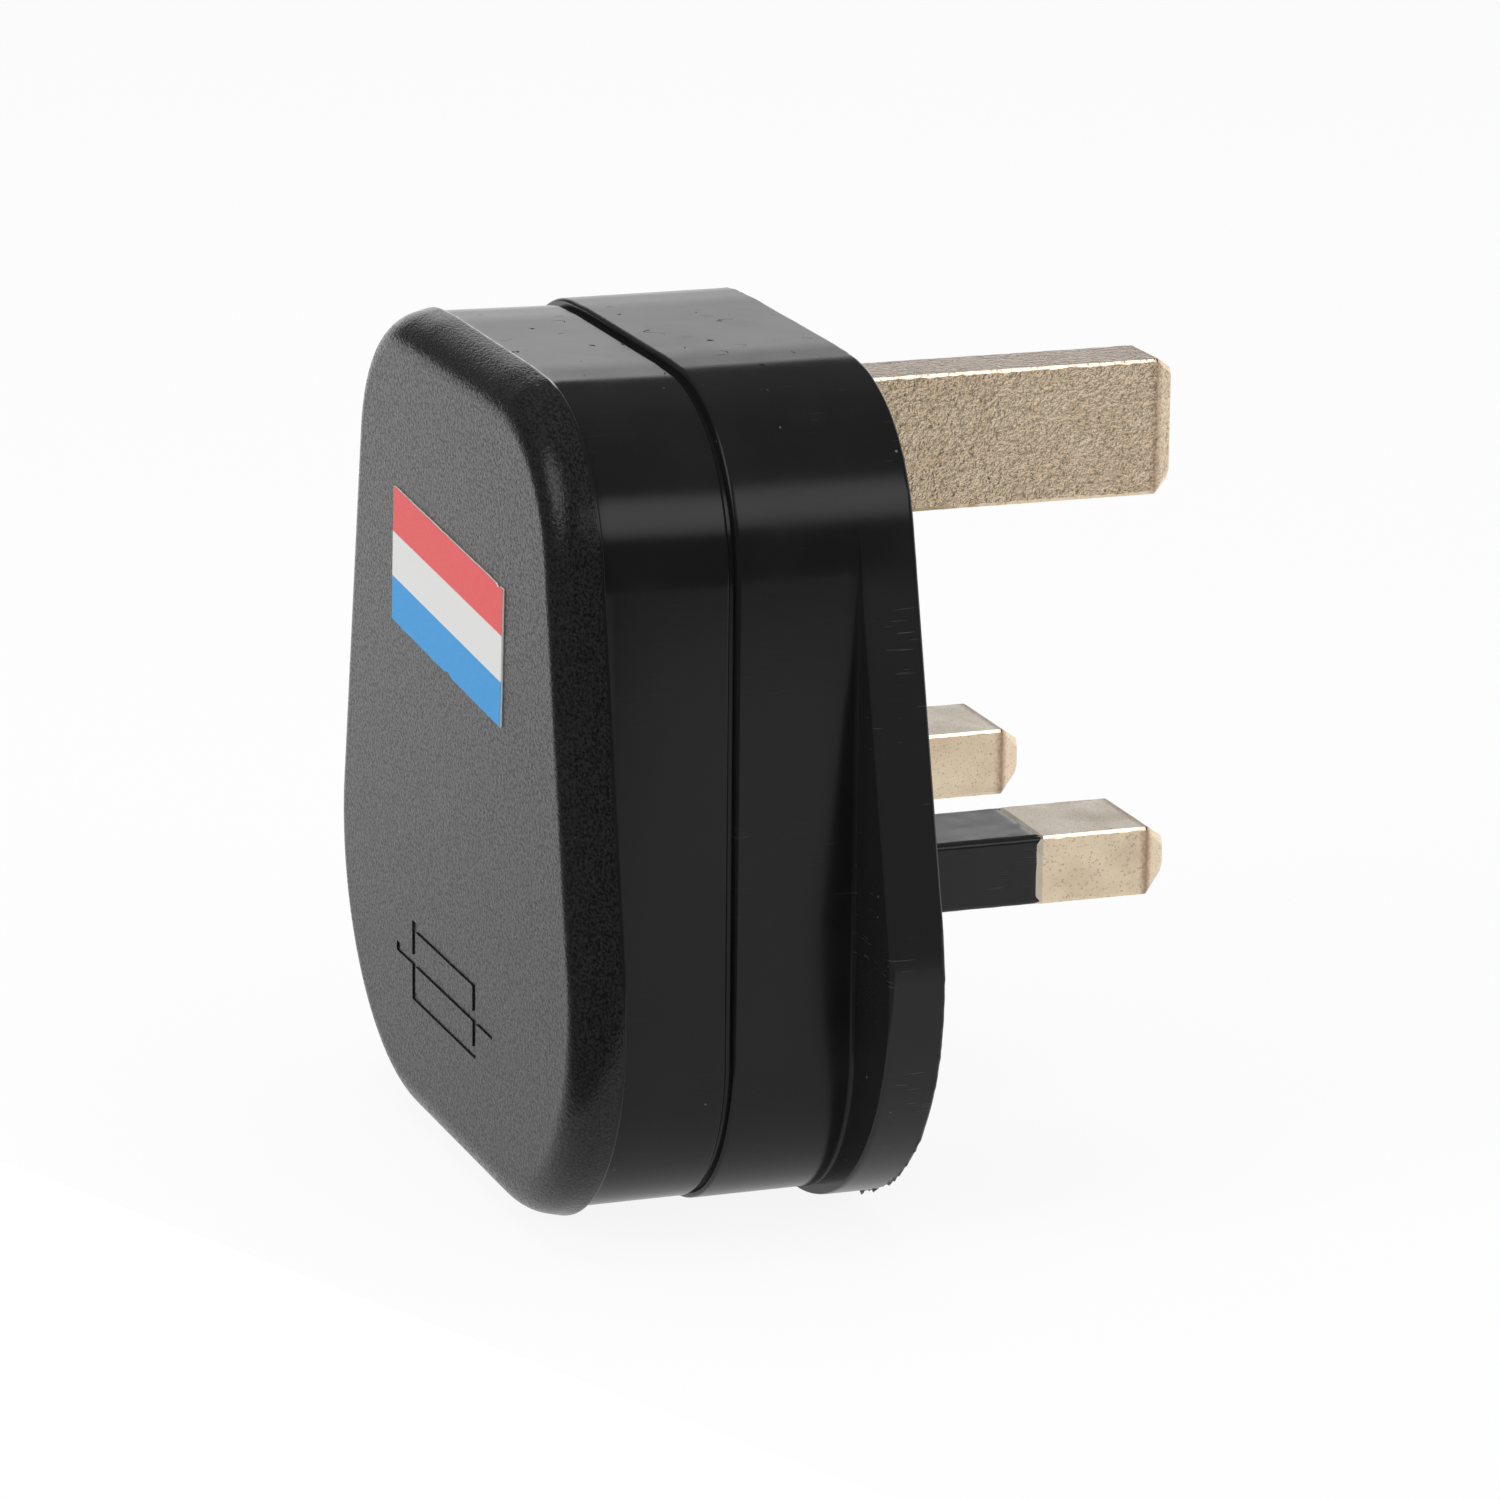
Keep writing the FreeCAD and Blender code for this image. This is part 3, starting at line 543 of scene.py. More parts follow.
def pinPoints(centre, width, height, along=0.0, swell=1.0):
    # a bar whose long edges are broken by a steep bevel of uneven size
    ease = pins["bevelEdge"]
    points = []
    for sx, sz in ((1, -1), (1, 1), (-1, 1), (-1, -1)):
        drift = noise.noise(Vector((centre.x + sx, along * pins["rippleGrain"], centre.y + sz)))
        across, down = [min(size * swell * (1 + pins["bevelDrift"] * drift), pins["bevelMost"] * side)
                        for size, side in zip(pins["bevel"], (width, height))]
        corner = [(0.0, -down), (-across, -ease), (-across - ease, 0.0)]
        turned = corner if sx * sz > 0 else corner[::-1]
        bend = [centre + Vector((sx * (width / 2 + x), sz * (height / 2 + z))) for x, z in turned]
        points += between(points[-1], bend[0], nearEnds) if points else []
        points += bend
    return points + between(points[-1], points[0], nearEnds)


def pinRing(bm, pin, inset, along, ripple):
    width, height = pin["size"]
    middle = Vector(pin["centre"])
    swell = 1.0 + pins["endSwell"] * max(inset, 0.0)
    points = pinPoints(middle, width - 2 * inset, height - 2 * inset, along, swell)
    shaped = []
    for point in points:
        spot = Vector((point.x, along, point.y)) * pins["rippleGrain"]
        shaped.append(point + (point - middle).normalized() * noise.noise(spot) * ripple)
    return addRing(bm, shaped, -along)


def makePin(name, node, pin):
    bm = bmesh.new()
    # terminal end, cut off just inside the pin face
    bm.from_mesh(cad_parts[node].data)
    bmesh.ops.remove_doubles(bm, verts=bm.verts, dist=1e-6)
    cutAt = Vector((0.0, -pins["cut"] * mm, 0.0))
    cut = bmesh.ops.bisect_plane(bm, geom=bm.verts[:] + bm.edges[:] + bm.faces[:], plane_co=cutAt,
                                 plane_no=Vector((0.0, 1.0, 0.0)), clear_outer=True)
    rim = [item for item in cut["geom_cut"] if isinstance(item, bmesh.types.BMEdge)]
    bmesh.ops.edgeloop_fill(bm, edges=rim)
    for face in bm.faces:
        face.smooth = False
    # shank and tip
    rings = []
    start = -pins["cut"] - pins["lap"]
    shankStart = pin.get("coreEnd", start)
    if "core" in pin:
        core = pinPoints(Vector(pin["centre"]), *pin["core"])
        rings += [addRing(bm, core, -start), addRing(bm, core, -shankStart)]
        sunk, long = pins["shoulder"]
        rings.append(pinRing(bm, pin, sunk, shankStart, pins["ripple"]))
        shankStart += long
    tipLong, tipDeep = pin["tip"]
    reach = pin["reach"]
    neck = reach - tipLong
    shankEnd = neck - pins["neckGap"]
    count = max(2, round((shankEnd - shankStart) / pins["spacing"]))
    for step in range(count + 1):
        where = shankStart + (shankEnd - shankStart) * step / count
        rings.append(pinRing(bm, pin, 0.0, where, pins["ripple"]))
    end = roundedPath([(0.0, shankEnd), (0.0, neck), (tipDeep, reach), (tipDeep + pins["endFlat"], reach)],
                      [pins["endRound"], pins["endRound"]], pins["endArc"], pins["endHold"])
    for inset, where in end[1:]:
        rings.append(pinRing(bm, pin, inset, where, pins["endRipple"]))
    skin(bm, rings)
    cap(bm, rings[0])
    cap(bm, rings[-1])
    # the broken edges are rubbed smooth, and the finish reads where they are
    bmesh.ops.recalc_face_normals(bm, faces=bm.faces)
    rubbed = bm.faces.layers.float.new("rubbed")
    across, up = pins["rubbedFrom"]
    for face in bm.faces:
        outside = min(vert.co.y for vert in face.verts) > 0.0
        face[rubbed] = float(outside and abs(face.normal.x) > across and abs(face.normal.z) > up)
    return finishMesh(bm, name, pins["sharp"])


# insulating sleeves, which creep a little along the pin's corners
sleeve = {
    "edge": 0.35, "proud": 0.03, "onPin": 0.004, "endEase": 0.6, "creep": 0.36, "creepWide": 0.55,
    "ripple": 0.025, "wobble": 0.05, "wobbleSeed": 3.0, "grain": 1.4, "spacing": 0.35,
}


def creepAt(point, centre):
    # how far the sleeve's end stands out at this place of its outline
    corner = Vector(housing["lineSize"]) / 2
    local = point - centre
    away = max(corner.x - abs(local.x), 0.0) + max(corner.y - abs(local.y), 0.0)
    share = max(0.0, 1.0 - away / sleeve["creepWide"])
    creep = sleeve["creep"] * share * share * (3 - 2 * share)
    shake = noise.noise(Vector((point.x, point.y, sleeve["wobbleSeed"])) * sleeve["grain"]) + 1.0
    return housing["sleeveReach"] + creep + shake * sleeve["wobble"]


def makeSleeve(name, x):
    bm = bmesh.new()
    centre = Vector((x, 0.0))
    width, height = housing["lineSize"]
    start, reach, proud = housing["floor"], housing["sleeveReach"], sleeve["proud"]
    outside = barPoints(centre, width + 2 * proud, height + 2 * proud, sleeve["edge"] + proud)
    onPin = barPoints(centre, width + sleeve["onPin"], height + sleeve["onPin"], sleeve["edge"])
    inside = barPoints(centre, *housing["coreSize"], sleeve["edge"])
    ends = [creepAt(point, centre) for point in outside]
    count = round((start + reach) / sleeve["spacing"])
    rings = []
    for step in range(count + 1):
        share = step / count
        depths = [start - (start + end - proud) * share for end in ends]
        shaped = []
        for point, depth in zip(outside, depths):
            shake = noise.noise(Vector((point.x, depth, point.y)) * sleeve["grain"]) * sleeve["ripple"]
            shaped.append(point + (point - centre).normalized() * shake)
        rings.append(addRing(bm, shaped, depths))
    tips = [-end for end in ends]
    eased = blend(shaped, onPin, sleeve["endEase"])
    for points, depth in ((eased, tips), (onPin, tips), (onPin, -reach), (inside, -reach), (inside, start)):
        rings.append(addRing(bm, points, depth))
    rings.append(rings[0])
    skin(bm, rings)
    return finishMesh(bm, name)


plugBase = makeBase()
plugCover = makeCover()
print("housing made,", len(plugBase.data.polygons), "and", len(plugCover.data.polygons), "faces")
bandLabel = makeLabel()
earthPin = makePin("earthPin", "earth_pin", earthShape)
livePin = makePin("livePin", "live_pin", liveShape)
neutralPin = makePin("neutralPin", "neutral_pin", neutralShape)
liveSleeve = makeSleeve("liveSleeve", housing["linePinX"])
neutralSleeve = makeSleeve("neutralSleeve", -housing["linePinX"])
print("label, pins and sleeves made")


# shader helpers

def addNode(tree, kind, values=None, **settings):
    node = tree.nodes.new(kind)
    for key, value in settings.items():
        setattr(node, key, value)
    for key, value in (values or {}).items():
        feed(tree, value, node, key)
    return node


def feed(tree, source, node, key):
    if isinstance(source, bpy.types.NodeSocket):
        tree.links.new(source, node.inputs[key])
    else:
        node.inputs[key].default_value = source


def calc(tree, operation, first, second=0.0, clamp=False):
    node = addNode(tree, "ShaderNodeMath", {0: first, 1: second}, operation=operation, use_clamp=clamp)
    return node.outputs[0]


def times(tree, first, second):
    return calc(tree, "MULTIPLY", first, second)


def plus(tree, first, second):
    return calc(tree, "ADD", first, second)


def ramp(tree, source, low, high, first=0.0, last=1.0):
    values = {"Value": source, "From Min": low, "From Max": high, "To Min": first, "To Max": last}
    return addNode(tree, "ShaderNodeMapRange", values, interpolation_type="SMOOTHSTEP").outputs["Result"]


def mixColour(tree, share, first, second):
    return addNode(tree, "ShaderNodeMix", {0: share, 6: first, 7: second}, data_type="RGBA").outputs[2]


def noiseValue(tree, vector, scale, detail=2.0, rough=0.5):
    values = {"Vector": vector, "Scale": scale, "Detail": detail, "Roughness": rough}
    return addNode(tree, "ShaderNodeTexNoise", values).outputs["Fac"]


def stretched(tree, vector, scale):
    return addNode(tree, "ShaderNodeVectorMath", {0: vector, 1: scale}, operation="MULTIPLY").outputs[0]


def separate(tree, vector):
    return addNode(tree, "ShaderNodeSeparateXYZ", {0: vector}).outputs


def newGroup(name, inputs, outputs):
    # an input without a value is a vector
    group = bpy.data.node_groups.new(name, "ShaderNodeTree")
    for title, value in inputs.items():
        kind = "NodeSocketVector" if value is None else "NodeSocketFloat"
        socket = group.interface.new_socket(name=title, in_out="INPUT", socket_type=kind)
        if value is not None:
            socket.default_value = value
    for title in outputs:
        group.interface.new_socket(name=title, in_out="OUTPUT", socket_type="NodeSocketFloat")
    return group, addNode(group, "NodeGroupInput").outputs, addNode(group, "NodeGroupOutput")


# spark-eroded mould skin: even fine grain with scattered darker flecks
moulded = {"stretch": (0.65, 1.5, 1.0), "relief": (0.32, 0.68), "finer": 2.4, "fineShare": 0.25,
           "fleckFiner": 1.2, "flecks": (0.4, 0.62)}


def makeGrain():
    group, given, result = newGroup("mouldGrain", {"Vector": None, "Scale": 5.0}, ["Height", "Fleck"])
    vector = stretched(group, given["Vector"], moulded["stretch"])
    scale = given["Scale"]
    coarse = noiseValue(group, vector, scale, rough=0.6)
    fine = noiseValue(group, vector, times(group, scale, moulded["finer"]), detail=1.0)
    height = plus(group, ramp(group, coarse, *moulded["relief"]), times(group, fine, moulded["fineShare"]))
    feed(group, height, result, "Height")
    fleck = noiseValue(group, vector, times(group, scale, moulded["fleckFiner"]), detail=3.0, rough=0.65)
    feed(group, ramp(group, fleck, *moulded["flecks"]), result, "Fleck")
    return group


# handling: dust specks, hairline scratches in patches, and short curved fibres
handled = {"speckLeast": 0.4, "speckDull": 0.3, "streaks": (0.5, 0.35, 9.0), "streakCut": (0.69, 0.73),
           "patch": 0.16, "patchCut": (0.5, 0.62), "fibre": 0.55, "fibreCut": (0.012, 0.006),
           "kept": 0.7, "keptCut": (0.64, 0.68)}


def makeMarks():
    inputs = {"Vector": None, "Speck Scale": 0.7, "Speck Size": 0.05, "Speck Share": 0.3,
              "Hairline Share": 0.5}
    group, given, result = newGroup("handlingMarks", inputs, ["Specks", "Hairlines", "Fibres"])
    vector = given["Vector"]
    values = {"Vector": vector, "Scale": given["Speck Scale"], "Randomness": 1.0}
    cells = addNode(group, "ShaderNodeTexVoronoi", values).outputs
    pick = addNode(group, "ShaderNodeSeparateColor", {"Color": cells["Color"]}).outputs
    chosen = calc(group, "LESS_THAN", pick["Red"], given["Speck Share"])
    size = times(group, given["Speck Size"], plus(group, pick["Green"], handled["speckLeast"]))
    near = calc(group, "LESS_THAN", cells["Distance"], size)
    dull = handled["speckDull"]
    bright = plus(group, times(group, pick["Blue"], 1.0 - dull), dull)
    feed(group, times(group, times(group, chosen, near), bright), result, "Specks")
    streaks = noiseValue(group, stretched(group, vector, handled["streaks"]), 1.0, detail=1.0)
    patch = noiseValue(group, vector, handled["patch"], detail=1.0)
    patch = ramp(group, patch, *handled["patchCut"])
    lines = times(group, ramp(group, streaks, *handled["streakCut"]), patch)
    feed(group, times(group, lines, given["Hairline Share"]), result, "Hairlines")
    # a fibre is a stretch of a noise's contour line
    contour = calc(group, "SUBTRACT", noiseValue(group, vector, handled["fibre"], detail=1.0), 0.5)
    thread = ramp(group, calc(group, "ABSOLUTE", contour), *handled["fibreCut"])
    kept = ramp(group, noiseValue(group, vector, handled["kept"], detail=1.0), *handled["keptCut"])
    feed(group, times(group, thread, kept), result, "Fibres")
    return group


# cast and plated metal: soft ridges, pits and a drifting tone
plated = {"stretch": (1.0, 0.9, 1.1), "ridges": 2.2, "finer": 3.1, "fineShare": 0.35,
          "pitCut": (0.56, 0.68), "pitDeep": 0.6, "tone": 0.35}


def makeCast():
    inputs = {"Vector": None, "Peel Scale": 1.6, "Pit Scale": 3.0, "Pit Share": 0.5}
    group, given, result = newGroup("castSkin", inputs, ["Height", "Tone", "Pits"])
    vector, scale = given["Vector"], given["Peel Scale"]
    peel = noiseValue(group, stretched(group, vector, plated["stretch"]), scale, detail=3.0, rough=0.6)
    fine = noiseValue(group, vector, times(group, scale, plated["finer"]))
    ridges = plus(group, times(group, peel, plated["ridges"]), times(group, fine, plated["fineShare"]))
    pitted = noiseValue(group, vector, given["Pit Scale"], detail=3.0, rough=0.7)
    pits = times(group, ramp(group, pitted, *plated["pitCut"]), given["Pit Share"])
    feed(group, calc(group, "SUBTRACT", ridges, times(group, pits, plated["pitDeep"])), result, "Height")
    feed(group, noiseValue(group, vector, plated["tone"], detail=4.0, rough=0.6), result, "Tone")
    feed(group, pits, result, "Pits")
    return group


mouldGrain = makeGrain()
handlingMarks = makeMarks()
castSkin = makeCast()


def newMaterial(name):
    # gives the material, its tree, its shader and its coordinates in millimetres
    material = bpy.data.materials.new(name)
    material.use_nodes = True
    tree = material.node_tree
    shader = tree.nodes["Principled BSDF"]
    where = addNode(tree, "ShaderNodeTexCoord")
    vector = stretched(tree, where.outputs["Object"], (1 / mm,) * 3)
    return material, tree, shader, vector


def useGroup(tree, group, vector, **values):
    return addNode(tree, "ShaderNodeGroup", {"Vector": vector, **values}, node_tree=group).outputs


def bump(tree, shader, height, strength, distance, after=None):
    values = {"Strength": strength, "Distance": distance * mm, "Height": height}
    node = addNode(tree, "ShaderNodeBump", values)
    if after:
        feed(tree, after, node, "Normal")
    feed(tree, node.outputs["Normal"], shader, "Normal")
    return node.outputs["Normal"]


# black mouldings: smooth walls, and the cover's front and its round in grained skin
black = {
    "colour": (0.008, 0.008, 0.0083, 1.0), "paler": (0.0105, 0.0105, 0.0108, 1.0),
    "dust": (0.16, 0.16, 0.155, 1.0), "scuffDust": 0.25, "scuffRough": 0.3, "fibreRough": 0.5,
    "ior": 1.35, "sleeveIor": 1.4, "gloss": 0.13, "baseGloss": 0.16, "sleeveGloss": 0.17, "glossDrift": 0.06,
    "drift": 0.22, "palerCut": (0.35, 0.75), "dullCut": (0.3, 0.8),
    "waves": (0.5, 0.02), "skin": (4.0, 0.006), "relief": (0.8, 0.25),
    # scuffs and wear by depth and height: on the flange and, less, elsewhere; fibres on the top
    "scuffed": (3.25, 3.45), "elsewhere": 0.2, "worn": (0.015, 0.015, 0.0152, 1.0), "wornBelow": (20.5, 18.0),
    "fibresAbove": (28.6, 28.8),
    # grained skin, duller towards the flat front
    "grainFrom": (18.1, 18.16), "grainScale": 4.4, "grainRelief": (0.8, 0.012),
    "grainColour": (0.018, 0.018, 0.0182, 1.0), "fleckColour": (0.004, 0.004, 0.004, 1.0),
    "grainGloss": 0.12, "fleckRough": (0.16, 0.33), "flatFrom": (18.6, 20.4),
    # the plate's upper rim: a painted highlight in pale grey, broken into patches
    "rim": (0.5, 0.5, 0.49, 1.0), "paintedHighlightFrom": (17.9, 17.93), "paintedHighlightTo": (18.09, 18.05),
    "paintedHighlightAbove": (28.97, 29.2), "paintedHighlightPatch": 0.8, "paintedHighlightCut": (0.35, 0.6), "paintedHighlightLeast": 0.35,
}


def blackPlastic(name, grained=False, hairlines=0.5, gloss=black["gloss"], ior=black["ior"]):
    material, tree, shader, vector = newMaterial(name)
    shader.inputs["IOR"].default_value = ior
    marks = useGroup(tree, handlingMarks, vector, **{"Hairline Share": hairlines})
    where = separate(tree, vector)
    depth = times(tree, where["Y"], -1.0)
    scuffs = times(tree, marks["Hairlines"], ramp(tree, depth, *black["scuffed"], 1.0, black["elsewhere"]))
    fibres = times(tree, marks["Fibres"], ramp(tree, where["Z"], *black["fibresAbove"]))
    drift = noiseValue(tree, vector, black["drift"], detail=3.0)
    colour = mixColour(tree, ramp(tree, drift, *black["palerCut"]), black["colour"], black["paler"])
    onFlange = ramp(tree, depth, *black["scuffed"], 1.0, 0.0)
    worn = times(tree, onFlange, ramp(tree, where["Z"], *black["wornBelow"]))
    colour = mixColour(tree, worn, colour, black["worn"])
    rough = ramp(tree, drift, *black["dullCut"], gloss, gloss + black["glossDrift"])
    rough = plus(tree, rough, times(tree, scuffs, black["scuffRough"]))
    rough = plus(tree, rough, times(tree, fibres, black["fibreRough"]))
    waves, waveTall = black["waves"]
    fine, fineTall = black["skin"]
    height = plus(tree, times(tree, noiseValue(tree, vector, waves), waveTall),
                  times(tree, noiseValue(tree, vector, fine, detail=3.0), fineTall))
    smooth = bump(tree, shader, height, *black["relief"])
    if grained:
        front = ramp(tree, depth, *black["grainFrom"])
        grain = useGroup(tree, mouldGrain, vector, Scale=black["grainScale"])
        skinColour = mixColour(tree, grain["Fleck"], black["grainColour"], black["fleckColour"])
        colour = mixColour(tree, front, colour, skinColour)
        fleckRough = ramp(tree, depth, *black["flatFrom"], *black["fleckRough"])
        skinRough = ramp(tree, grain["Fleck"], 0.0, 1.0, black["grainGloss"], fleckRough)
        wallRough = times(tree, rough, calc(tree, "SUBTRACT", 1.0, front))
        rough = plus(tree, wallRough, times(tree, front, skinRough))
        bump(tree, shader, times(tree, grain["Height"], front), *black["grainRelief"], smooth)
        # painted highlight: a pale grey line along the plate's upper rim, in patches
        rim = times(tree, ramp(tree, depth, *black["paintedHighlightFrom"]), ramp(tree, depth, *black["paintedHighlightTo"]))
        rim = times(tree, rim, ramp(tree, where["Z"], *black["paintedHighlightAbove"]))
        patch = noiseValue(tree, vector, black["paintedHighlightPatch"], detail=3.0)
        rim = times(tree, rim, ramp(tree, patch, *black["paintedHighlightCut"], black["paintedHighlightLeast"], 1.0))
        colour = mixColour(tree, rim, colour, black["rim"])
    dusty = calc(tree, "ADD", marks["Specks"], times(tree, scuffs, black["scuffDust"]), clamp=True)
    feed(tree, mixColour(tree, dusty, colour, black["dust"]), shader, "Base Color")
    feed(tree, rough, shader, "Roughness")
    return material


# printed bands on the label
bands = {
    "red": (0.9, 0.11, 0.115, 1.0), "white": (0.85, 0.85, 0.84, 1.0), "blue": (0.035, 0.36, 0.8, 1.0),
    "ink": 0.04, "wander": (6.0, 0.06), "mottle": 9.0, "mottleCut": (0.3, 0.8), "mottleMost": 0.06,
    "paperBelow": 0.8, "hairlines": 0.2, "specks": 0.15, "scratch": (0.3, 0.3, 0.3, 1.0), "scratchShare": 0.5,
    "rough": 0.5, "ior": 1.35, "waves": 2.2, "relief": (0.12, 0.05),
}


def bandPrint():
    material, tree, shader, vector = newMaterial("bandPrint")
    flat = addNode(tree, "ShaderNodeMapping", {"Vector": vector}, vector_type="TEXTURE")
    flat.inputs["Location"].default_value = (label["centre"][0], 0.0, label["centre"][1])
    flat.inputs["Rotation"].default_value = (0.0, -math.radians(label["turn"]), 0.0)
    wander, wanderFar = bands["wander"]
    up = separate(tree, flat.outputs["Vector"])["Z"]
    up = plus(tree, up, times(tree, noiseValue(tree, vector, wander), wanderFar))
    third, ink = label["high"] / 6, bands["ink"]
    lower = ramp(tree, up, -third - ink, -third + ink)
    upper = ramp(tree, up, third - ink, third + ink)
    colour = mixColour(tree, upper, mixColour(tree, lower, bands["blue"], bands["white"]), bands["red"])
    mottle = noiseValue(tree, vector, bands["mottle"], detail=3.0)
    mottle = ramp(tree, mottle, *bands["mottleCut"], 0.0, bands["mottleMost"])
    # the cut edge shows the paper
    depth = times(tree, separate(tree, vector)["Y"], -1.0)
    printedFrom = housing["front"] + label["thick"] - bands["paperBelow"] * label["edge"]
    paper = calc(tree, "LESS_THAN", depth, printedFrom)
    colour = mixColour(tree, calc(tree, "MAXIMUM", mottle, paper), colour, bands["white"])
    marks = useGroup(tree, handlingMarks, vector,
                     **{"Hairline Share": bands["hairlines"], "Speck Share": bands["specks"]})
    scratches = times(tree, marks["Hairlines"], bands["scratchShare"])
    feed(tree, mixColour(tree, scratches, colour, bands["scratch"]), shader, "Base Color")
    shader.inputs["Roughness"].default_value = bands["rough"]
    shader.inputs["IOR"].default_value = bands["ior"]
    bump(tree, shader, noiseValue(tree, vector, bands["waves"]), *bands["relief"])
    return material


# metals: pins, terminals and plated steel
metals = {
    "castBrass": {"light": (1.0, 0.82, 0.6, 1.0), "dark": (0.94, 0.75, 0.53, 1.0),
                  "pitAndShadeColour": (0.2, 0.14, 0.08, 1.0), "rough": (0.2, 0.28), "peel": 2.7, "pits": (4.6, 0.45),
                  # hollow: how strongly the casting's hollows take painted shade
                  "deep": 0.17, "paintedHollowShade": 0.14, "end": earthShape["reach"] - earthShape["tip"][0],
                  "tint": (0.6, 0.42, 0.3, 1.0), "rubbed": 0.14,
                  # the top face's darker, greyer tone is painted shade
                  "top": (26.1, 26.2), "topTone": (0.8, 0.66, 0.53, 1.0)},
    "drawnBrass": {"light": (1.0, 0.83, 0.61, 1.0), "dark": (0.93, 0.76, 0.55, 1.0),
                   "pitAndShadeColour": (0.36, 0.27, 0.17, 1.0), "rough": (0.26, 0.36), "peel": 3.6, "pits": (6.4, 0.7),
                   "deep": 0.005, "end": liveShape["reach"] - liveShape["tip"][0],
                   "tint": (0.36, 0.22, 0.14, 1.0), "rubbed": 0.14,
                   # the top face's greyer tone is painted light
                   "top": (1.9, 1.98), "topTone": (0.98, 0.87, 0.72, 1.0),
                   "collar": (9.98, 9.9), "collarTone": (0.74, 0.65, 0.53, 1.0)},
    "terminalBrass": {"light": (0.78, 0.60, 0.30, 1.0), "dark": (0.62, 0.45, 0.2, 1.0),
                      "pitAndShadeColour": (0.3, 0.2, 0.1, 1.0), "rough": (0.25, 0.38), "peel": 2.4, "pits": (3.0, 0.2),
                      "deep": 0.01},
    "platedSteel": {"light": (0.66, 0.66, 0.65, 1.0), "dark": (0.5, 0.5, 0.5, 1.0),
                    "pitAndShadeColour": (0.25, 0.25, 0.25, 1.0), "rough": (0.22, 0.36), "peel": 3.2, "pits": (4.0, 0.25),
                    "deep": 0.008},
}
metalSkin = {"toneCut": (0.3, 0.7), "roughCut": (0.25, 0.75), "paintedShadeBelow": (1.25, 0.95), "relief": 0.7,
             "wander": (4.0, 0.6), "wornNear": (0.85, 0.25), "wornMost": 0.85, "rubbedFlat": 0.1}


def metal(name):
    look = metals[name]
    material, tree, shader, vector = newMaterial(name)
    shader.inputs["Metallic"].default_value = 1.0
    cast = useGroup(tree, castSkin, vector, **{"Peel Scale": look["peel"], "Pit Scale": look["pits"][0],
                                               "Pit Share": look["pits"][1]})
    colour = mixColour(tree, ramp(tree, cast["Tone"], *metalSkin["toneCut"]), look["light"], look["dark"])
    rough = ramp(tree, cast["Tone"], *metalSkin["roughCut"], *look["rough"])
    pits, height = cast["Pits"], cast["Height"]
    where = separate(tree, vector)
    # painted light: the top faces get a greyer tone, on the cast pin a darker one
    if "top" in look:
        colour = mixColour(tree, ramp(tree, where["Z"], *look["top"]), colour, look["topTone"])
    if "collar" in look:
        # a plain collar beside the sleeve
        collar = ramp(tree, where["Y"], *look["collar"])
        colour = mixColour(tree, collar, colour, look["collarTone"])
        pits = times(tree, pits, calc(tree, "SUBTRACT", 1.0, collar))
    if "paintedHollowShade" in look:
        # painted shade: the hollows of the casting are darkened towards the pit colour
        paintedHollowShade = ramp(tree, height, *metalSkin["paintedShadeBelow"], 0.0, look["paintedHollowShade"])
        colour = mixColour(tree, paintedHollowShade, colour, look["pitAndShadeColour"])
    if "end" in look:
        # worn, warmer plating where the end is bevelled
        wander, wanderFar = metalSkin["wander"]
        away = calc(tree, "ABSOLUTE", calc(tree, "SUBTRACT", where["Y"], look["end"]))
        drift = noiseValue(tree, vector, wander, detail=3.0, rough=0.65)
        away = plus(tree, away, times(tree, drift, wanderFar))
        worn = ramp(tree, away, *metalSkin["wornNear"], 0.0, metalSkin["wornMost"])
        colour = mixColour(tree, worn, colour, look["tint"])
        edge = addNode(tree, "ShaderNodeAttribute", attribute_name="rubbed").outputs["Fac"]
        rough = calc(tree, "MINIMUM", rough, ramp(tree, edge, 0.0, 1.0, 1.0, look["rubbed"]))
        height = times(tree, height, ramp(tree, edge, 0.0, 1.0, 1.0, metalSkin["rubbedFlat"]))
    feed(tree, mixColour(tree, pits, colour, look["pitAndShadeColour"]), shader, "Base Color")
    feed(tree, rough, shader, "Roughness")
    bump(tree, shader, height, metalSkin["relief"], look["deep"])
    return material


# small inner parts: a light and a dark tone, and how dull they are
innerSkins = {
    "fibre": ((0.30, 0.10, 0.07, 1.0), (0.2, 0.06, 0.04, 1.0), 0.6),
    "ceramic": ((0.86, 0.84, 0.79, 1.0), (0.74, 0.71, 0.65, 1.0), 0.45),
}
innerGrain = {"stretch": (1.0, 1.0, 0.4), "scale": 2.6, "cut": (0.35, 0.7), "relief": (0.3, 0.02)}


def innerMaterial(name):
    light, dark, rough = innerSkins[name]
    material, tree, shader, vector = newMaterial(name + "Skin")
    vector = stretched(tree, vector, innerGrain["stretch"])
    grain = noiseValue(tree, vector, innerGrain["scale"], detail=4.0, rough=0.6)
    feed(tree, mixColour(tree, ramp(tree, grain, *innerGrain["cut"]), light, dark), shader, "Base Color")
    shader.inputs["Roughness"].default_value = rough
    bump(tree, shader, grain, *innerGrain["relief"])
    return material


smoothBlack = blackPlastic("smoothBlack", hairlines=1.0, gloss=black["baseGloss"])
grainedBlack = blackPlastic("grainedBlack", grained=True, hairlines=0.3)
sleeveBlack = blackPlastic("sleeveBlack", hairlines=0.8, gloss=black["sleeveGloss"], ior=black["sleeveIor"])
finishes = {name: metal(name) for name in metals}
finishes.update({name: innerMaterial(name) for name in innerSkins})
labelInk = bandPrint()

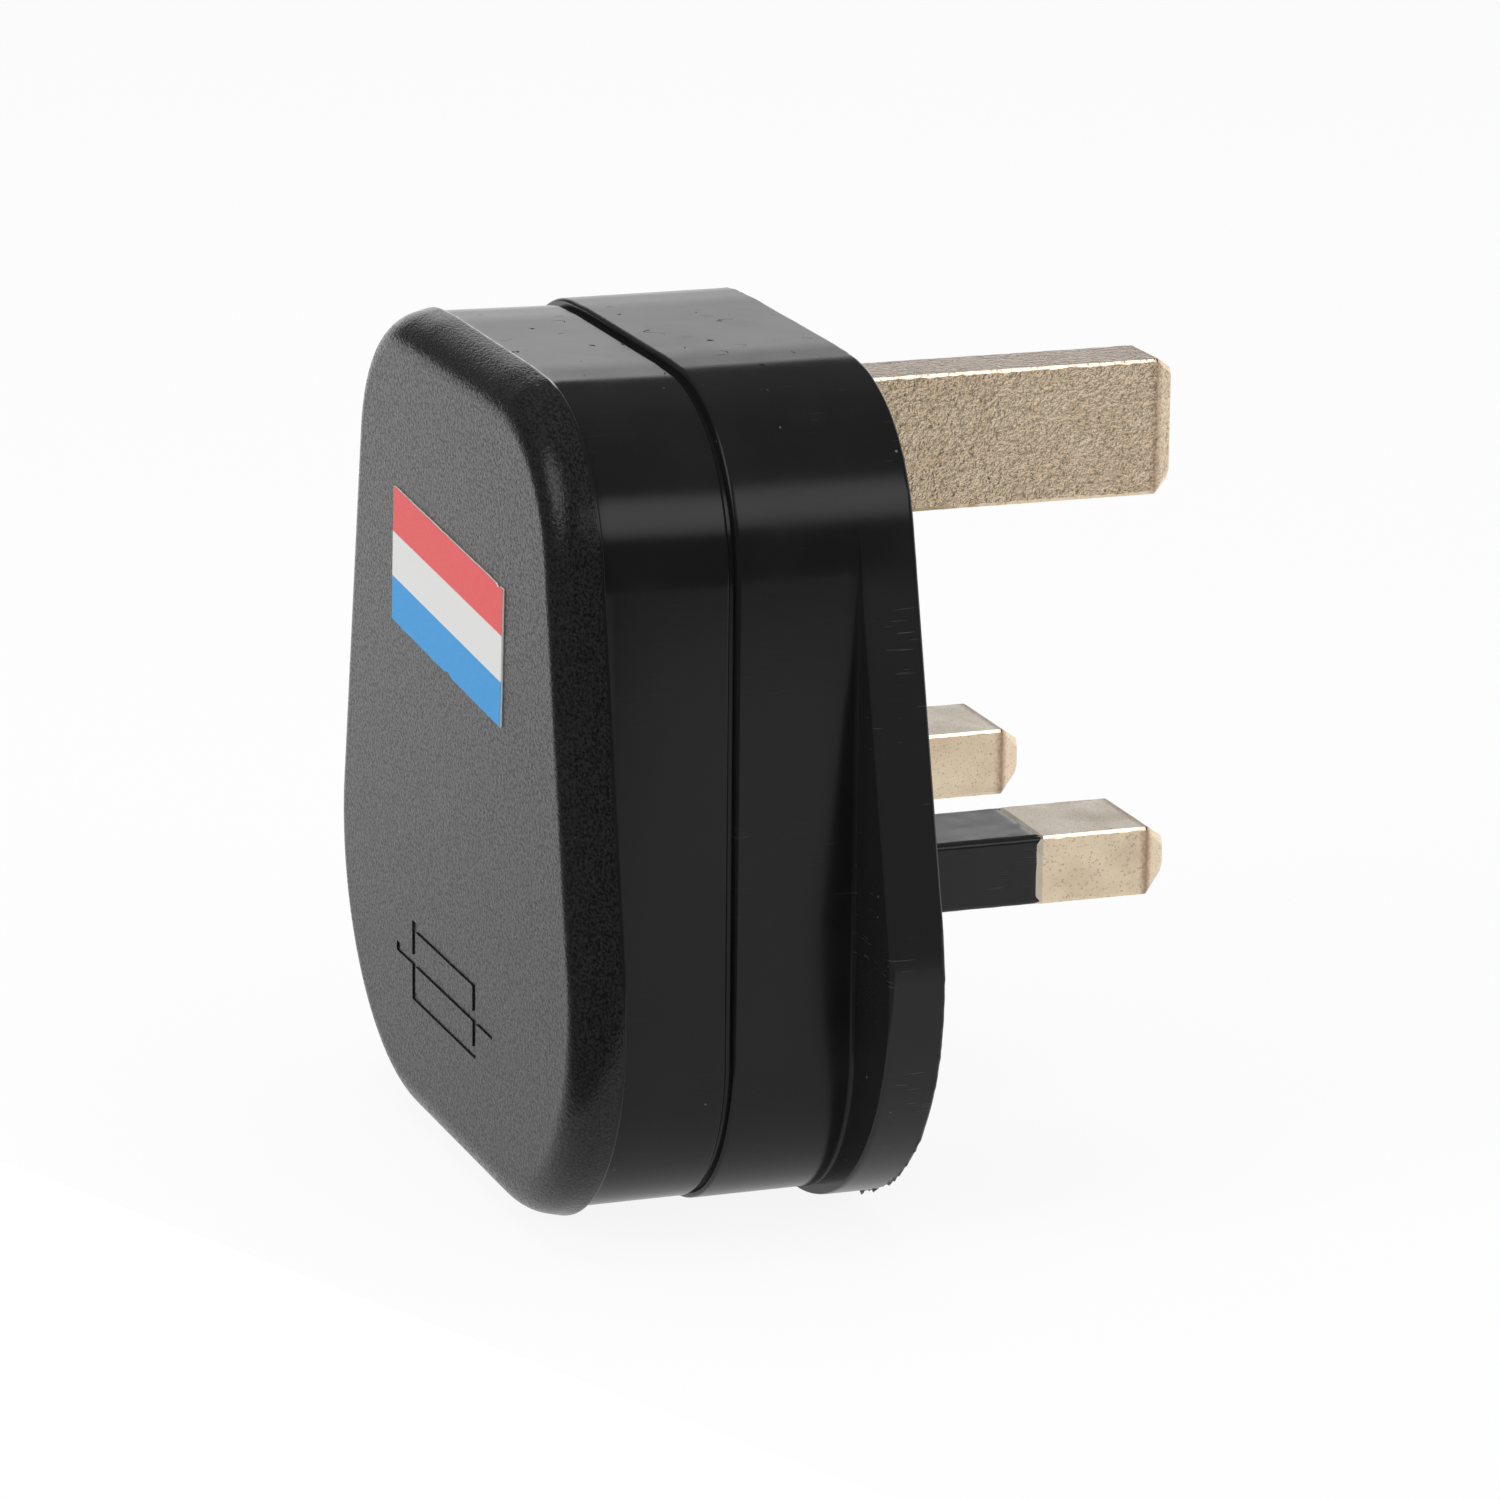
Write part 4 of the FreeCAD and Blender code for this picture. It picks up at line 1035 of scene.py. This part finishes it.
# each new piece: what it stands for, its slot and its finish
dressed = [
    (plugBase, "base", "housing_gloss", smoothBlack),
    (plugCover, "cover", "housing_matte", grainedBlack),
    (bandLabel, "rating_label", "label", labelInk),
    (earthPin, "earth_pin", "pin_brass", finishes["castBrass"]),
    (livePin, "live_pin", "pin_brass", finishes["drawnBrass"]),
    (neutralPin, "neutral_pin", "pin_brass", finishes["drawnBrass"]),
    (liveSleeve, "live_sleeve", "sleeve", sleeveBlack),
    (neutralSleeve, "neutral_sleeve", "sleeve", sleeveBlack),
]
for piece, node, slotName, finish in dressed:
    piece.data.materials.clear()
    piece.data.materials.append(finish)
    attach(piece, "root")
    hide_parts(node)

# frame nodes that stay as they are
keptNodes = {
    "platedSteel": ["cover_screw", "earth_terminal_screw", "neutral_terminal_screw", "live_terminal_screw",
                    "fuse_cap_lower", "fuse_cap_upper", "cord_grip_screws"],
    "terminalBrass": ["cover_insert", "live_terminal", "fuse_clip_lower", "fuse_clip_upper"],
    "fibre": ["screw_retainer", "cord_grip"],
    "ceramic": ["fuse_tube"],
}
for finish, nodes in keptNodes.items():
    for node in nodes:
        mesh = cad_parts[node].data
        mesh.materials.clear()
        mesh.materials.append(finishes[finish])
print("finishes set")


# floor, surround, lamps and camera
studio = {
    # the table's corner on the camera's side, and the way its front edge runs from there
    "tableCorner": (0.16, 0.032), "tableTurn": 204.5, "tableReach": 2.2,
    "floorGap": 0.28, "floorColour": (0.9, 0.9, 0.9, 1.0), "floorShade": 0.1,
    # the floor's glow in reflections: painted shade towards the camera's side, painted shadow around the
    # object
    "floorFade": (-0.02, 0.17), "paintedFloorShade": (1.0, 0.8), "paintedFloorShadow": (0.02, 0.17, 0.72, 1.0),
    "backdrop": (130.0, 0.0), "backdropEdge": (0.45, 0.68), "backdropTop": (0.34, 0.3),
    "dark": 0.1, "overheadGlow": 0.1, "overheadFrom": (0.4, 0.8), "ambient": 0.52,
    # soft boxes as they mirror in the object: turn, rise, half-angles of the core and of the rim, level
    "mirrored": ((23.0, 32.0, 1.0, 17.0, 2.1), (-88.0, 30.0, 7.0, 24.0, 2.6), (-11.0, 32.0, 4.0, 10.0, 1.5)),
    # lamps: turn, rise, distance, size, power
    "lamps": {"rightBox": (23.0, 28.0, 0.5, 0.24, 0.3), "frontBox": (-73.0, 30.0, 0.5, 0.3, 0.9),
              "overhead": (0.0, 90.0, 0.6, 0.6, 1.2)},
}


def aimed(turn, rise):
    turn, rise = math.radians(turn), math.radians(rise)
    return Vector((math.cos(rise) * math.cos(turn), math.cos(rise) * math.sin(turn), math.sin(rise)))


def makeFloor():
    bm = bmesh.new()
    level = -(housing["drop"] + studio["floorGap"]) * mm  # the plug stands on its flash
    corner = Vector((*studio["tableCorner"], level))
    reach = studio["tableReach"]
    spots = [corner, corner + Vector((0.0, reach, 0.0)), corner + Vector((-reach, reach, 0.0)),
             corner + aimed(studio["tableTurn"], 0.0) * reach]
    bm.faces.new([bm.verts.new(spot) for spot in spots])
    mesh = bpy.data.meshes.new("floor")
    bm.to_mesh(mesh)
    bm.free()
    floor = bpy.data.objects.new("floor", mesh)
    bpy.context.scene.collection.objects.link(floor)
    material = bpy.data.materials.new("paleFloor")
    material.use_nodes = True
    tree = material.node_tree
    tree.nodes.clear()
    white = addNode(tree, "ShaderNodeBsdfDiffuse", {"Color": studio["floorColour"]})
    # in reflections the table glows, with painted shade towards its near side and a painted shadow around the
    # object; the camera sees it white
    path = addNode(tree, "ShaderNodeLightPath").outputs
    where = addNode(tree, "ShaderNodeTexCoord").outputs["Object"]
    away = addNode(tree, "ShaderNodeVectorMath", {0: where}, operation="LENGTH").outputs["Value"]
    # painted shade on the near side and painted shadow around the object, in the glow
    side = ramp(tree, separate(tree, where)["X"], *studio["floorFade"], *studio["paintedFloorShade"])
    mirrored = times(tree, ramp(tree, away, *studio["paintedFloorShadow"]), side)
    camera = path["Is Camera Ray"]
    glow = addNode(tree, "ShaderNodeEmission", {"Strength": calc(tree, "MAXIMUM", mirrored, camera)})
    shiny = calc(tree, "MAXIMUM", path["Is Glossy Ray"], path["Is Transmission Ray"])
    seen = times(tree, calc(tree, "MAXIMUM", camera, shiny), 1.0 - studio["floorShade"])
    mix = addNode(tree, "ShaderNodeMixShader", {0: seen, 1: white.outputs[0], 2: glow.outputs[0]})
    addNode(tree, "ShaderNodeOutputMaterial", {"Surface": mix.outputs[0]})
    floor.data.materials.append(material)


def makeSurround():
    # white to the camera; in reflections white behind the object and dark overhead and on the camera's side
    world = bpy.data.worlds.new("surround")
    bpy.context.scene.world = world
    world.use_nodes = True
    tree = world.node_tree
    tree.nodes.clear()
    way = addNode(tree, "ShaderNodeTexCoord").outputs["Generated"]

    def towards(turn, rise):
        return addNode(tree, "ShaderNodeVectorMath", {0: way, 1: aimed(turn, rise)},
                       operation="DOT_PRODUCT").outputs["Value"]

    rise = separate(tree, way)["Z"]
    behind = times(tree, ramp(tree, towards(*studio["backdrop"]), *studio["backdropEdge"]),
                   ramp(tree, rise, *studio["backdropTop"]))
    mirrored = ramp(tree, behind, 0.0, 1.0, studio["dark"], 1.0)
    mirrored = plus(tree, mirrored, ramp(tree, rise, *studio["overheadFrom"], 0.0, studio["overheadGlow"]))
    for turn, lift, core, rim, bright in studio["mirrored"]:
        inner, outer = math.cos(math.radians(core)), math.cos(math.radians(rim))
        soft = ramp(tree, towards(turn, lift), outer, inner, 0.0, bright)
        mirrored = calc(tree, "MAXIMUM", mirrored, soft)
    path = addNode(tree, "ShaderNodeLightPath").outputs
    camera = path["Is Camera Ray"]
    shiny = calc(tree, "MAXIMUM", path["Is Glossy Ray"], path["Is Transmission Ray"])
    dull = times(tree, studio["ambient"], calc(tree, "SUBTRACT", 1.0, shiny))
    level = plus(tree, times(tree, mirrored, shiny), dull)
    level = plus(tree, times(tree, level, calc(tree, "SUBTRACT", 1.0, camera)), camera)
    glow = addNode(tree, "ShaderNodeBackground", {"Color": (1.0, 1.0, 1.0, 1.0), "Strength": level})
    addNode(tree, "ShaderNodeOutputWorld", {"Surface": glow.outputs[0]})


def makeLamp(name, turn, rise, distance, size, power):
    # lights the object; its mirror image comes from the surround
    lamp = bpy.data.lights.new(name, "AREA")
    lamp.shape = "DISK"
    lamp.size = size
    lamp.energy = power
    thing = bpy.data.objects.new(name, lamp)
    thing.location = aimed(turn, rise) * distance
    thing.rotation_euler = thing.location.to_track_quat("Z", "Y").to_euler()
    thing.visible_glossy = False
    bpy.context.scene.collection.objects.link(thing)


# the camera's place and axes, fitted to the photograph
view = {
    "spot": (0.3641, -0.13381, 0.11007), "lens": 167.284, "sensor": 36.0, "clip": 0.01,
    "right": (0.336913, 0.941495, 0.008744), "up": (-0.250924, 0.080835, 0.964626),
    "back": (0.907484, -0.327189, 0.263478),
}


def makeCamera():
    camera = bpy.data.cameras.new("camera")
    camera.sensor_width = view["sensor"]
    camera.lens = view["lens"]
    camera.clip_start = view["clip"]
    thing = bpy.data.objects.new("camera", camera)
    turn = Matrix((view["right"], view["up"], view["back"])).transposed()
    thing.matrix_world = Matrix.Translation(view["spot"]) @ turn.to_4x4()
    bpy.context.scene.collection.objects.link(thing)
    bpy.context.scene.camera = thing


makeFloor()
makeSurround()
for name, lamp in studio["lamps"].items():
    makeLamp(name, *lamp)
makeCamera()
bpy.context.scene.view_settings.view_transform = "Standard"
print("studio set")
